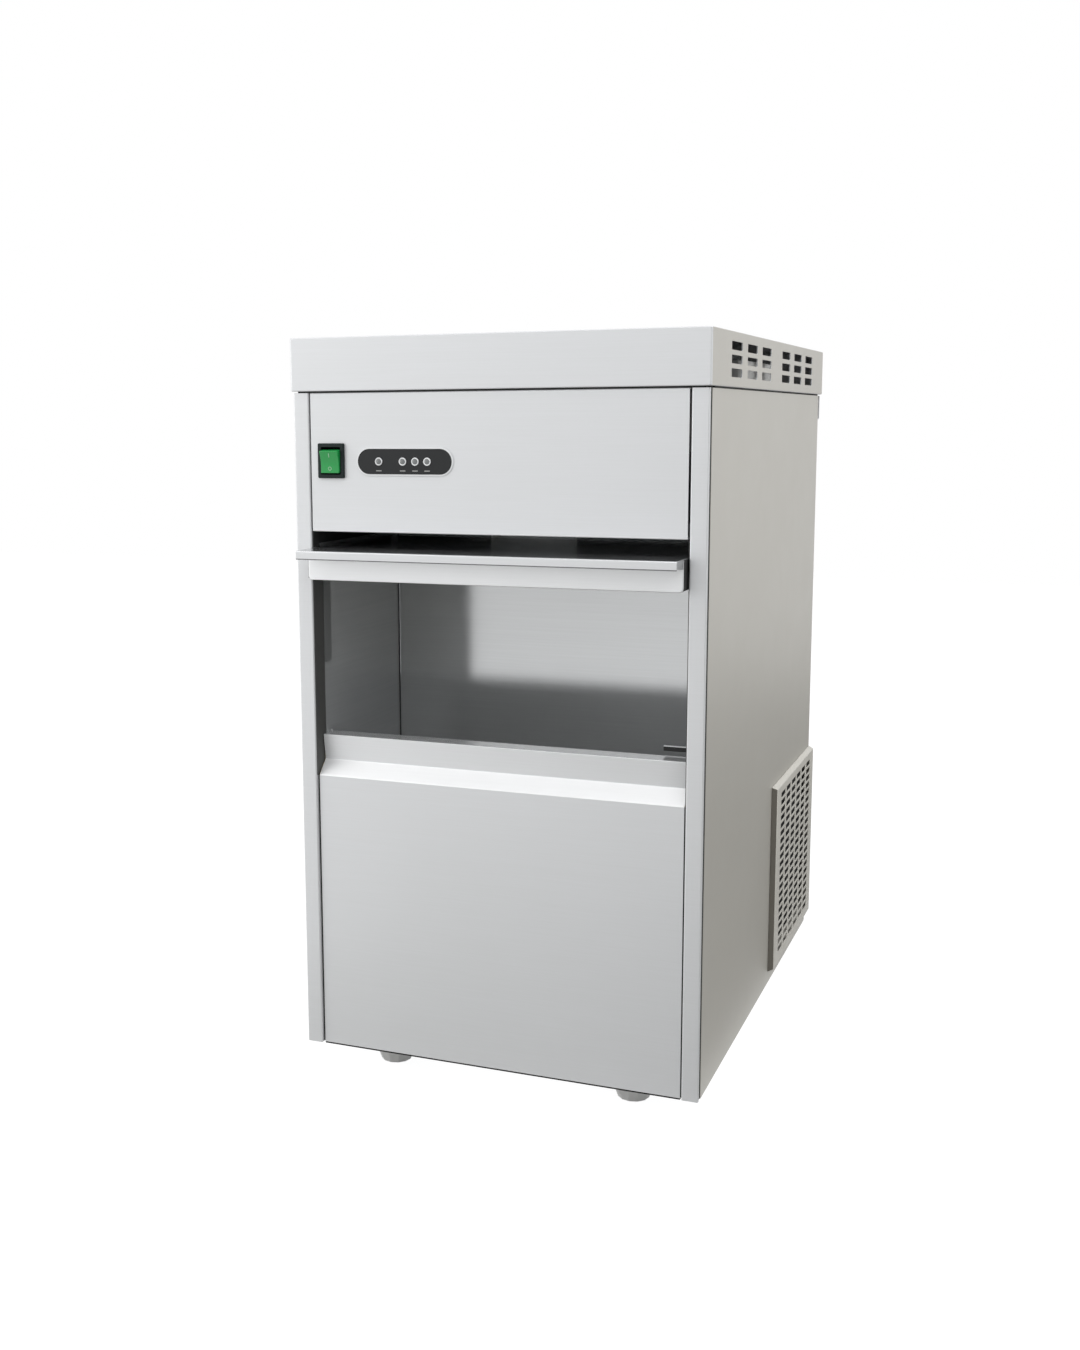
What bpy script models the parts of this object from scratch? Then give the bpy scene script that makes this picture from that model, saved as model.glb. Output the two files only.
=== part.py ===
"""Counter-top flake ice maker with its bin, auger evaporator and refrigeration set.

Lengths are metres and +Z is up. Places are given in the cabinet's own coordinates: x from its
centre line, y from its front plane towards the rear, z from its underside. The cabinet empty
carries them to the part's frame, whose origin is the middle of the footprint on the floor.
The door is drawn as it is stored: pushed back, level, over the bin.
"""
import bpy
import bmesh
from math import cos, pi, radians, sin
from mathutils import Vector

# Cabinet
WIDTH = 0.380
HEIGHT = 0.660
DEPTH = 0.528
SHEET = 0.001
SEAT = 0.0003
OVERRUN = 0.004
PANEL_CLEARANCE = 0.00175
FLANGE = 0.012
SMOOTH_ANGLE = radians(40)

# Levelling feet
FOOT_HEIGHT = 0.025
FOOT_TOP_RADIUS = 0.021
FOOT_BASE_RADIUS = 0.0145
FOOT_BAND = 0.007
FOOT_SIDES = 12
FOOT_FROM_SIDE = 0.071
FOOT_FROM_EDGE = 0.048
STUD_RADIUS = 0.004
STUD_LENGTH = 0.018
STUD_CLEARANCE = 0.0004

# Base pan
PAN_FRONT = 0.0215
PAN_WALL = 0.020

# Front pillars
PILLAR_WIDTH = 0.015
PILLAR_RETURN = 0.020
PILLAR_WRAP = 0.005
PILLAR_JOGGLE_LENGTH = 0.013

# Top cap
CAP_HEIGHT = 0.047
CAP_OVERHANG = 0.002
CAP_REAR_OVERHANG = 0.012
CAP_SEAM = 0.0015
LEDGE_INSET = 0.003
CAP_CORNER = 0.002
VENT_LENGTH = 0.043
VENT_HEIGHT = 0.0073
VENT_PITCH = 0.0648
VENT_ROW_PITCH = 0.0114
VENT_GROUP_GAP = 0.098
VENT_COLUMNS = 3
VENT_ROWS = 3

# Rear panel
RAIL_HEIGHT = 0.026

# Control panel
CONTROL_HEIGHT = 0.1235
SWITCH_X = -0.1527
SWITCH_Z = 0.0635
BEZEL_WIDTH = 0.026
BEZEL_HEIGHT = 0.031
BEZEL_RIM = 0.0024
BEZEL_RISE = 0.0025
BEZEL_BODY_DEPTH = 0.017
ROCKER_THICKNESS = 0.007
ROCKER_PROUD = 0.0035
ROCKER_TILT = radians(9)
ROCKER_CLEARANCE = 0.0006
ROCKER_PIN_RADIUS = 0.0011
ROCKER_PIN_DEPTH = 0.0011
DISPLAY_X = -0.0812
DISPLAY_Z = 0.063
DISPLAY_WIDTH = 0.093
DISPLAY_HEIGHT = 0.025
DISPLAY_RISE = 0.0012
DISPLAY_BODY_INSET = 0.005
DISPLAY_BODY_DEPTH = 0.014
LENS_RADIUS = 0.0035
LENS_STEM_RADIUS = 0.0022
LENS_RISE = 0.0008
LENS_PLACES = (-0.0246, -0.0015, 0.0104, 0.0219)

# Lower front panel and the bin's opening above it
OPENING_HEIGHT = 0.190
LOWER_FACE = 0.003
SLANT_RISE = 0.013
RECESS_HEIGHT = 0.0236
RECESS_LEAN = 0.0035
HEM_RETURN = 0.0022

# Bin liner
BIN_HALF_WIDTH = 0.1775
BIN_FLOOR = 0.070
BIN_FRONT_WALL = 0.0375
BIN_DEPTH = 0.156
LINER_FLANGE_FRONT = 0.0152
SILL_STEP = 0.001
DRAIN_X = 0.110
DRAIN_FROM_BACK = 0.026
DRAIN_RADIUS = 0.009
DRAIN_WALL = 0.0015
DRAIN_SPOUT = 0.030
PROBE_LENGTH = 0.033
PROBE_DEPTH = 0.008
PROBE_THICKNESS = 0.007
PROBE_BEHIND_WALL = 0.0035
PROBE_CHAMFER = 0.0025

# Insulation
REAR_INSULATION = 0.027
FLOOR_INSULATION = 0.038

# Bin ceiling, divider and top deck
CEILING_LIP = 0.011
DIVIDER_TOP_DROP = 0.058
DECK_FRONT = 0.150
DECK_LENGTH = 0.250
DECK_FLANGE = 0.011

# Door, its axle and its guides
DOOR_HALF_WIDTH = 0.173
DOOR_THICKNESS = 0.028
DOOR_SLOT_CLEARANCE = 0.002
DOOR_SILL_CLEARANCE = 0.003
TRACK_RUN = 0.143
TRACK_DROP = 0.013
LIP_REACH = 0.023
LIP_HOOK = 0.007
BAND_CORNER = 0.007
HINGE_BAR_LENGTH = 0.014
AXLE_RADIUS = 0.003
AXLE_CLEARANCE = 0.0003
GLIDE_RADIUS = 0.006
GLIDE_CLEARANCE = 0.0003
GUIDE_THICKNESS = 0.0032
GUIDE_DOOR_CLEARANCE = 0.001
GUIDE_MARGIN = 0.007
GUIDE_LEG_WIDTH = 0.013
GUIDE_LEG_DROP = 0.081
GUIDE_NOSE_WALL = 0.0015

# Ice chute and its flap
CHUTE_X = -0.030
CHUTE_WIDTH = 0.090
CHUTE_HEIGHT = 0.057
CHUTE_TOP_DROP = 0.006
CHUTE_WALL = 0.002
FLAP_BEHIND_WALL = 0.020
FLAP_THICKNESS = 0.0012
FLAP_CLEARANCE = 0.003
FLAP_BARREL_RADIUS = 0.0022
SENSOR_POCKET_WIDTH = 0.020
SENSOR_POCKET_LENGTH = 0.014
SENSOR_POCKET_HEIGHT = 0.010

# Evaporator, auger and gear motor
EVAPORATOR_SETBACK = 0.068
BARREL_HEIGHT = 0.1854
BRACKET_LEG = 0.060
BRACKET_SHELF = 0.115
BRACKET_THICKNESS = 0.002
GEAR_CASE_WIDTH = 0.100
GEAR_CASE_DEPTH = 0.090
GEAR_CASE_HEIGHT = 0.055
MOTOR_RADIUS = 0.040
MOTOR_LENGTH = 0.085
MOTOR_SIDES = 20
DRIVE_SHAFT_RADIUS = 0.006
DRIVE_SHAFT_LENGTH = 0.015
COUPLING_RADIUS = 0.016
COUPLING_LENGTH = 0.028
COUPLING_CLEARANCE = 0.0004
STAND_HEIGHT = 0.034
STAND_RADIUS = 0.042
STAND_WALL = 0.005
BARREL_FLANGE = 0.006
BARREL_RADIUS = 0.030
BARREL_BORE = 0.025
BARREL_TOP_STEP = 0.003
JACKET_RADIUS = 0.052
AUGER_CORE = 0.010
AUGER_CLEARANCE = 0.001
FLIGHT_THICKNESS = 0.005
FLIGHT_PITCH = 0.036
FLIGHT_STEPS = 12
HEAD_RADIUS = 0.035
HEAD_WALL = 0.004
HEAD_BASE = 0.006
HEAD_CROWN = 0.009
HEAD_WINDOW = 0.050
ROUND_SIDES = 20

# Water reservoir with its float
RESERVOIR_WIDTH = 0.074
RESERVOIR_LENGTH = 0.178
RESERVOIR_HEIGHT = 0.085
RESERVOIR_FRONT = 0.198
RESERVOIR_SIDE_GAP = 0.014
RESERVOIR_WALL = 0.0025
RESERVOIR_CORNER = 0.012
SPIGOT_RADIUS = 0.005
SPIGOT_LENGTH = 0.012
PIVOT_FROM_WALL = 0.016
PIVOT_BELOW_RIM = 0.016
PIVOT_RADIUS = 0.0015
PIVOT_LENGTH = 0.012
PIVOT_BLOCK = 0.012
ARM_HUB_RADIUS = 0.004
ARM_CLEARANCE = 0.0003
ARM_THICKNESS = 0.003
ARM_LENGTH = 0.085
FLOAT_LENGTH = 0.042
FLOAT_WIDTH = 0.040
FLOAT_HEIGHT = 0.020

# Water and mains services at the rear
INLET_X = 0.118
INLET_BELOW_DECK = 0.0485
INLET_NIPPLE_RADIUS = 0.010
INLET_NIPPLE_LENGTH = 0.020
INLET_BORE = 0.006
INLET_BODY_WIDTH = 0.032
INLET_BODY_DEPTH = 0.034
INLET_BODY_HEIGHT = 0.036
HOSE_RADIUS = 0.005
FILL_TUBE_RADIUS = 0.004
DRAIN_HOSE_RADIUS = 0.0085
DRAIN_OUTLET_X = 0.030
DRAIN_OUTLET_Z = 0.046
DRAIN_TAIL = 0.020
DRAIN_HOSE_CLEARANCE = 0.005
DRAIN_HOLE_CLEARANCE = 0.0015
SOCKET_X = -0.120
SOCKET_Z = 0.080
SOCKET_WIDTH = 0.027
SOCKET_HEIGHT = 0.020
SOCKET_DEPTH = 0.017
SOCKET_WALL = 0.002
SOCKET_FLANGE = 0.009
SOCKET_RISE = 0.002
SOCKET_PIN_WIDTH = 0.004
SOCKET_PIN_THICKNESS = 0.002
SOCKET_PIN_PITCH = 0.007

# Control box over the bin
CONTROL_BOX_WIDTH = 0.130
CONTROL_BOX_DEPTH = 0.110
CONTROL_BOX_HEIGHT = 0.052
CONTROL_BOX_X = -0.095
CONTROL_BOX_FRONT = 0.070
BOX_EDGE = 0.002

# Compressor
COMPRESSOR_X = -0.095
COMPRESSOR_Y = 0.405
COMPRESSOR_RADIUS = 0.060
COMPRESSOR_HEIGHT = 0.150
COMPRESSOR_DOME_SHARES = ((0.80, 0.0), (1.0, 0.14), (1.0, 0.52), (1.04, 0.53), (1.04, 0.56),
                          (1.0, 0.57), (1.0, 0.80), (0.80, 0.95), (0.42, 1.0))
MOUNT_PLATE_LENGTH = 0.150
MOUNT_PLATE_DEPTH = 0.104
MOUNT_PLATE_THICKNESS = 0.003
GROMMET_HEIGHT = 0.018
GROMMET_RADIUS = 0.011
GROMMET_INSET = 0.014
PORT_LENGTH = 0.014
PORT_HEIGHT = 0.105
PIPE_RADIUS = 0.0035

# Condenser, shroud and fan
CONDENSER_INNER = 0.140
CONDENSER_THICKNESS = 0.038
CONDENSER_LENGTH = 0.190
CONDENSER_HEIGHT = 0.200
CONDENSER_REAR_GAP = 0.012
FIN_COUNT = 16
FIN_DEPTH = 0.012
FIN_SHARE = 0.5
SHROUD_THICKNESS = 0.002
SHROUD_RING = 0.006
FAN_RADIUS = 0.074
FAN_TIP_CLEARANCE = 0.004
FAN_HUB_RADIUS = 0.017
FAN_HUB_LENGTH = 0.018
FAN_BLADES = 5
FAN_BLADE_THICKNESS = 0.0018
FAN_BLADE_PITCH = radians(28)
FAN_BLADE_CHORD = 0.034
FAN_SHAFT_RADIUS = 0.003
FAN_SHAFT_CLEARANCE = 0.0004
FAN_SHAFT_LENGTH = 0.013
FAN_STANDOFF = 0.004
FAN_MOTOR_RADIUS = 0.030
FAN_MOTOR_LENGTH = 0.034
FAN_FOOT_WIDTH = 0.050
FAN_FOOT_LENGTH = 0.030

# Filter drier on the liquid line
DRIER_RADIUS = 0.010
DRIER_LENGTH = 0.060
LEAD_SHARE = 0.15

# Side grilles
GRILLE_LENGTH = 0.221
GRILLE_HEIGHT = 0.198
GRILLE_LOW = 0.013
GRILLE_REAR_MARGIN = 0.001
GRILLE_RISE = 0.006
GRILLE_BEVEL = 0.007
GRILLE_PLUG_INSET = 0.008
GRILLE_PLUG_DEPTH = 0.003
GRILLE_FACE = 0.0025
GRILLE_WALL = 0.002
SLOT_LENGTH = 0.023
SLOT_HEIGHT = 0.005
SLOT_COLUMNS = 6
SLOT_ROWS = 21
SLOT_PITCH = 0.030
SLOT_ROW_PITCH = 0.0084

# Places that follow from the sizes above
half_width = WIDTH / 2
panel_half = half_width - PILLAR_WIDTH - PANEL_CLEARANCE
inner_half = half_width - SHEET - SEAT
cap_bottom = HEIGHT - CAP_HEIGHT
cap_rear = DEPTH + CAP_REAR_OVERHANG
panel_top = cap_bottom - CAP_SEAM
rear_face = DEPTH + SEAT + SHEET
control_bottom = panel_top - CONTROL_HEIGHT
sill_height = control_bottom - OPENING_HEIGHT
ceiling_z = control_bottom + SHEET
liner_top = ceiling_z - SEAT
bin_back = BIN_FRONT_WALL + BIN_DEPTH
divider_y = bin_back + SHEET + SEAT + REAR_INSULATION + SEAT
divider_rear = divider_y + SHEET
deck_z = panel_top - DIVIDER_TOP_DROP
inlet_z = deck_z - INLET_BELOW_DECK
closed_pin_y = LOWER_FACE + DOOR_THICKNESS / 2
closed_pin_z = control_bottom - DOOR_SLOT_CLEARANCE - DOOR_THICKNESS / 2
pin_y = closed_pin_y + TRACK_RUN
pin_z = closed_pin_z - TRACK_DROP
door_length = closed_pin_z - sill_height - DOOR_SILL_CLEARANCE
door_top = pin_z + DOOR_THICKNESS / 2
door_bottom = pin_z - DOOR_THICKNESS / 2
door_end = pin_y - door_length
guide_inner = DOOR_HALF_WIDTH + GUIDE_DOOR_CLEARANCE
guide_reach = GLIDE_RADIUS + GUIDE_MARGIN
nose_front = closed_pin_y - GLIDE_RADIUS - GLIDE_CLEARANCE - GUIDE_NOSE_WALL
chute_top = ceiling_z - CHUTE_TOP_DROP
chute_low = chute_top - CHUTE_HEIGHT
chute_x = (CHUTE_X - CHUTE_WIDTH / 2, CHUTE_X + CHUTE_WIDTH / 2)
evaporator_y = divider_rear + EVAPORATOR_SETBACK
chute_rear = evaporator_y - HEAD_RADIUS - SEAT
barrel_top = chute_low + CHUTE_WALL + BARREL_TOP_STEP
barrel_low = barrel_top - BARREL_HEIGHT
barrel_floor = barrel_low + STAND_HEIGHT + BARREL_FLANGE
gear_case_top = barrel_low - SEAT
gear_case_low = gear_case_top - GEAR_CASE_HEIGHT
bracket_height = gear_case_low - SEAT
head_top = chute_top + HEAD_CROWN
reservoir_low = deck_z + SHEET + SEAT
reservoir_top = reservoir_low + RESERVOIR_HEIGHT
reservoir_x = half_width - SHEET - RESERVOIR_SIDE_GAP - RESERVOIR_WIDTH / 2
float_pivot_y = RESERVOIR_FRONT + RESERVOIR_WALL + PIVOT_FROM_WALL
float_pivot_z = reservoir_top - PIVOT_BELOW_RIM
condenser_rear = DEPTH - SHEET - CONDENSER_REAR_GAP
condenser_y = condenser_rear - CONDENSER_LENGTH / 2
pan_floor = SHEET + SEAT
condenser_top = pan_floor + CONDENSER_HEIGHT
fan_z = pan_floor + CONDENSER_HEIGHT / 2
shroud_x = CONDENSER_INNER - SEAT - SHROUD_THICKNESS
fan_x = shroud_x - FAN_STANDOFF - FAN_HUB_LENGTH
compressor_low = pan_floor + GROMMET_HEIGHT + MOUNT_PLATE_THICKNESS
rear_most = rear_face + max(INLET_NIPPLE_LENGTH, DRAIN_TAIL)
FRONT_Y = -(door_end - LIP_REACH + rear_most) / 2

FINISHES = {
    "satin_steel": ((0.70, 0.71, 0.72), 0.42, 0.6),
    "brushed_steel": ((0.62, 0.63, 0.64), 0.30, 0.95),
    "galvanised": ((0.55, 0.56, 0.57), 0.5, 0.85),
    "black_plastic": ((0.02, 0.025, 0.025), 0.4, 0.0),
    "dark_display": ((0.035, 0.035, 0.035), 0.35, 0.0),
    "green_lens": ((0.02, 0.35, 0.08), 0.2, 0.0),
    "lamp_lens": ((0.6, 0.6, 0.6), 0.25, 0.0),
    "white_plastic": ((0.82, 0.82, 0.80), 0.4, 0.0),
    "grille_plastic": ((0.60, 0.59, 0.55), 0.5, 0.0),
    "grey_plastic": ((0.35, 0.36, 0.36), 0.5, 0.0),
    "foam": ((0.80, 0.74, 0.55), 0.9, 0.0),
    "black_paint": ((0.015, 0.015, 0.017), 0.35, 0.3),
    "copper": ((0.72, 0.32, 0.18), 0.3, 1.0),
    "aluminium": ((0.60, 0.61, 0.62), 0.4, 0.9),
    "clear_hose": ((0.75, 0.77, 0.76), 0.3, 0.0),
}

carrier_places = {}
cut_counts = {}


def clear_scene():
    for item in list(bpy.data.objects):
        bpy.data.objects.remove(item, do_unlink=True)


def carrier(name, place, parent=None):
    """Empty that carries pieces; place is in cabinet coordinates."""
    empty = bpy.data.objects.new(name, None)
    bpy.context.collection.objects.link(empty)
    if parent is not None:
        empty.parent = parent
        empty.location = Vector(place) - carrier_places[parent.name]
    carrier_places[name] = Vector(place)
    return empty


def settle(name, shell, place, finish, parent=None, turn=(0, 0, 0), smooth=False):
    """Make a piece of a bmesh whose points are relative to place, in cabinet coordinates."""
    bmesh.ops.recalc_face_normals(shell, faces=shell.faces)
    mesh = bpy.data.meshes.new(name)
    shell.to_mesh(mesh)
    shell.free()
    if smooth:
        mesh.shade_smooth()
        mesh.set_sharp_from_angle(angle=SMOOTH_ANGLE)
    piece = bpy.data.objects.new(name, mesh)
    bpy.context.collection.objects.link(piece)
    holder = parent or cabinet
    piece.parent = holder
    piece.location = Vector(place) - carrier_places[holder.name]
    piece.rotation_euler = turn
    if finish:
        mesh.materials.append(paint(name, finish))
    return piece


def paint(name, finish):
    colour, roughness, metallic = FINISHES[finish]
    material = bpy.data.materials.new(name + "_" + finish)
    material.use_nodes = True
    shader = material.node_tree.nodes["Principled BSDF"]
    shader.inputs["Base Color"].default_value = (*colour, 1)
    shader.inputs["Roughness"].default_value = roughness
    shader.inputs["Metallic"].default_value = metallic
    return material


def block(name, low, high, finish=None, parent=None):
    """Box between two corners, with its origin in its middle."""
    low, high = Vector(low), Vector(high)
    middle = (low + high) / 2
    shell = bmesh.new()
    bmesh.ops.create_cube(shell, size=1)
    bmesh.ops.scale(shell, vec=high - low, verts=shell.verts)
    return settle(name, shell, middle, finish, parent)


def prism(name, outline, axis, start, end, finish=None, parent=None, smooth=False):
    """Outline in the plane square to axis (y,z or x,z or x,y), pushed from start to end."""
    order = {"X": (2, 0, 1), "Y": (0, 2, 1), "Z": (0, 1, 2)}[axis]
    points = [Vector([(u, v, start)[i] for i in order]) for u, v in outline]
    push = Vector([(0, 0, end - start)[i] for i in order])
    middle = sum(points, Vector()) / len(points) + push / 2
    shell = bmesh.new()
    face = shell.faces.new([shell.verts.new(p - middle) for p in points])
    pushed = bmesh.ops.extrude_face_region(shell, geom=[face], use_keep_orig=True)
    far = [v for v in pushed["geom"] if isinstance(v, bmesh.types.BMVert)]
    bmesh.ops.translate(shell, vec=push, verts=far)
    return settle(name, shell, middle, finish, parent, smooth=smooth)


def turned(name, profile, place, axis, finish=None, sides=ROUND_SIDES, parent=None):
    """Profile of (radius, distance along axis) spun round the axis through place."""
    shell = bmesh.new()
    points = [shell.verts.new((r, 0, h)) for r, h in profile]
    edges = [shell.edges.new(pair) for pair in zip(points, points[1:])]
    if profile[0][0] > 0:
        edges.append(shell.edges.new((points[-1], points[0])))
    bmesh.ops.spin(shell, geom=points + edges, cent=(0, 0, 0), axis=(0, 0, 1),
                   angle=2 * pi, steps=sides, use_merge=True)
    bmesh.ops.remove_doubles(shell, verts=shell.verts, dist=SEAT / 100)
    turn = {"X": (0, pi / 2, 0), "Y": (-pi / 2, 0, 0), "Z": (0, 0, 0)}[axis]
    return settle(name, shell, place, finish, parent, turn, smooth=True)


def rod(name, radius, start, length, axis, finish=None, sides=ROUND_SIDES, parent=None):
    profile = ((0, 0), (radius, 0), (radius, length), (0, length))
    return turned(name, profile, start, axis, finish, sides, parent)


def change(piece, tool, operation):
    cut_counts[piece.name] = cut_counts.get(piece.name, 0) + 1
    step = piece.modifiers.new(operation.lower(), "BOOLEAN")
    step.operation = operation
    step.solver = "EXACT"
    step.object = tool
    tool.hide_render = True
    tool.display_type = "WIRE"


def cut(piece, tool):
    change(piece, tool, "DIFFERENCE")


def weld(piece, tool):
    change(piece, tool, "UNION")


def tool_name(piece):
    return piece.name + "_tool_" + str(cut_counts.get(piece.name, 0) + 1)


def cut_block(piece, low, high):
    cut(piece, block(tool_name(piece), low, high))


def weld_block(piece, low, high):
    weld(piece, block(tool_name(piece), low, high))


def bore(piece, radius, start, length, axis, sides=ROUND_SIDES):
    cut(piece, rod(tool_name(piece), radius, start, length, axis, sides=sides))


def cut_grid(piece, centres, size, axis_low, axis_high):
    """Rows of box-shaped slots through both side walls, from axis_low to axis_high in x."""
    shell = bmesh.new()
    for y, z in centres:
        made = bmesh.ops.create_cube(shell, size=1)["verts"]
        bmesh.ops.scale(shell, vec=(axis_high - axis_low, *size), verts=made)
        bmesh.ops.translate(shell, vec=((axis_low + axis_high) / 2, y, z), verts=made)
    cut(piece, settle(tool_name(piece), shell, (0, 0, 0), None))


def folded(path, thickness=SHEET):
    """Closed outline of a bent sheet: its outer face follows path, its metal lies to the right."""
    points = [Vector(p) for p in path]
    sides = []
    for here, there in zip(points, points[1:]):
        run = (there - here).normalized()
        sides.append(Vector((run.y, -run.x)))
    inner = [points[0] + sides[0] * thickness]
    for corner, before, after in zip(points[1:-1], sides, sides[1:]):
        inner.append(corner + (before + after) / (1 + before.dot(after)) * thickness)
    inner.append(points[-1] + sides[-1] * thickness)
    return [tuple(p) for p in points + inner[::-1]]


def arc(centre, radius, start, end, steps):
    turns = [radians(start + (end - start) * i / steps) for i in range(steps + 1)]
    return [(centre[0] + radius * cos(t), centre[1] + radius * sin(t)) for t in turns]


def rounded(low, high, radius, steps=3):
    """Rectangle with round corners."""
    corners = (((high[0] - radius, high[1] - radius), 0), ((low[0] + radius, high[1] - radius), 90),
               ((low[0] + radius, low[1] + radius), 180), ((high[0] - radius, low[1] + radius), 270))
    return [p for centre, start in corners for p in arc(centre, radius, start, start + 90, steps)]


def mirrored(outline, side):
    return [(side * x, y) for x, y in outline]


def smooth_route(route, per_span):
    """Points along a Catmull-Rom curve through the route, with a short straight lead at each end."""
    route = [Vector(p) for p in route]
    ends = [2 * route[0] - route[1]] + route + [2 * route[-1] - route[-2]]
    points = []
    for a, b, c, d in zip(ends, ends[1:], ends[2:], ends[3:]):
        for i in range(per_span):
            t = i / per_span
            points.append((2 * b + (c - a) * t + (2 * a - 5 * b + 4 * c - d) * t * t
                           + (3 * b - a - 3 * c + d) * t * t * t) / 2)
    lead_in = route[0].lerp(route[1], LEAD_SHARE)
    lead_out = route[-1].lerp(route[-2], LEAD_SHARE)
    return [route[0], lead_in] + points[1:] + [lead_out, route[-1]]


def hose(name, route, radius, finish, per_span=3):
    """Bent tube along a smooth curve through the route."""
    line = bpy.data.curves.new(name, "CURVE")
    line.dimensions = "3D"
    line.bevel_depth = radius
    line.bevel_resolution = 2
    line.use_fill_caps = True
    points = smooth_route(route, per_span)
    run = line.splines.new("POLY")
    run.points.add(len(points) - 1)
    for spot, point in zip(run.points, points):
        spot.co = (*(point - Vector(route[0])), 1)
    piece = bpy.data.objects.new(name, line)
    bpy.context.collection.objects.link(piece)
    piece.parent = cabinet
    piece.location = Vector(route[0]) - carrier_places[cabinet.name]
    line.materials.append(paint(name, finish))
    return piece


def make_feet():
    """Screw feet: a tapered, faceted cup on a threaded stud that passes through the pan."""
    profile = ((0, -FOOT_HEIGHT), (FOOT_BASE_RADIUS, -FOOT_HEIGHT),
               (FOOT_TOP_RADIUS, -FOOT_BAND), (FOOT_TOP_RADIUS, -SEAT), (STUD_RADIUS, -SEAT),
               (STUD_RADIUS, STUD_LENGTH), (0, STUD_LENGTH))
    for end, y in (("front", FOOT_FROM_EDGE), ("rear", DEPTH - FOOT_FROM_EDGE)):
        for hand, side in (("left", -1), ("right", 1)):
            x = side * (half_width - FOOT_FROM_SIDE)
            turned(f"{end}_{hand}_foot", profile, (x, y, 0), "Z", "grey_plastic", FOOT_SIDES)
            yield x, y


def make_base(foot_places):
    pan = block("base_pan", (-inner_half, PAN_FRONT, 0), (inner_half, DEPTH - SHEET - SEAT, PAN_WALL),
                "galvanised")
    cut_block(pan, (SHEET - inner_half, PAN_FRONT + SHEET, SHEET),
              (inner_half - SHEET, DEPTH - 2 * SHEET - SEAT, PAN_WALL + OVERRUN))
    for x, y in foot_places:
        bore(pan, STUD_RADIUS + STUD_CLEARANCE, (x, y, -OVERRUN), SHEET + 2 * OVERRUN, "Z", FOOT_SIDES)


def make_pillars():
    """Folded channels joggled behind the side panels, notched inside for the guides' noses."""
    inner = half_width - PILLAR_WIDTH
    tuck = inner_half
    path = ((tuck, PILLAR_WRAP + PILLAR_JOGGLE_LENGTH), (tuck, PILLAR_WRAP),
            (half_width, PILLAR_WRAP), (half_width, 0), (inner, 0), (inner, PILLAR_RETURN))
    for hand, side in (("left", -1), ("right", 1)):
        pillar = prism(f"{hand}_pillar", mirrored(folded(path), side), "Z", 0, panel_top, "satin_steel")
        spread = sorted((side * (inner - OVERRUN), side * (inner + SHEET + OVERRUN)))
        cut_block(pillar, (spread[0], nose_front - SEAT, closed_pin_z - guide_reach - SEAT),
                  (spread[1], PILLAR_RETURN + OVERRUN, closed_pin_z + guide_reach + SEAT))


def make_side_panels():
    """Side skins with a rear return flange and an opening behind each grille."""
    path = ((half_width - FLANGE, DEPTH), (half_width, DEPTH), (half_width, PILLAR_WRAP + SEAT))
    low, high = grille_plug()
    for hand, side in (("left", -1), ("right", 1)):
        skin = prism(f"{hand}_side_panel", mirrored(folded(path), side), "Z", 0, panel_top, "satin_steel")
        weld(skin, prism(tool_name(skin), mirrored(cap_ledge(), side), "Y",
                         PILLAR_RETURN + SEAT, DEPTH - FLANGE))
        spread = sorted((side * (half_width - SHEET - OVERRUN), side * (half_width + OVERRUN)))
        cut_block(skin, (spread[0], low[0] - SEAT, low[1] - SEAT),
                  (spread[1], high[0] + SEAT, high[1] + SEAT))


def cap_ledge():
    """Top flange of a side panel in (x, z), joggled up behind the seam to carry the cap."""
    low, high = panel_top - 2 * SHEET, cap_bottom - SEAT
    inset = half_width - LEDGE_INSET
    return folded(((half_width - SHEET / 2, low), (inset, low), (inset, high),
                   (half_width - FLANGE, high)), -SHEET)


def grille_plug():
    """Low and high (y, z) corners of the grille's plug, which fills the side panel's opening."""
    rear = DEPTH - GRILLE_REAR_MARGIN
    return ((rear - GRILLE_LENGTH + GRILLE_PLUG_INSET, GRILLE_LOW + GRILLE_PLUG_INSET),
            (rear - GRILLE_PLUG_INSET, GRILLE_LOW + GRILLE_HEIGHT - GRILLE_PLUG_INSET))


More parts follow.
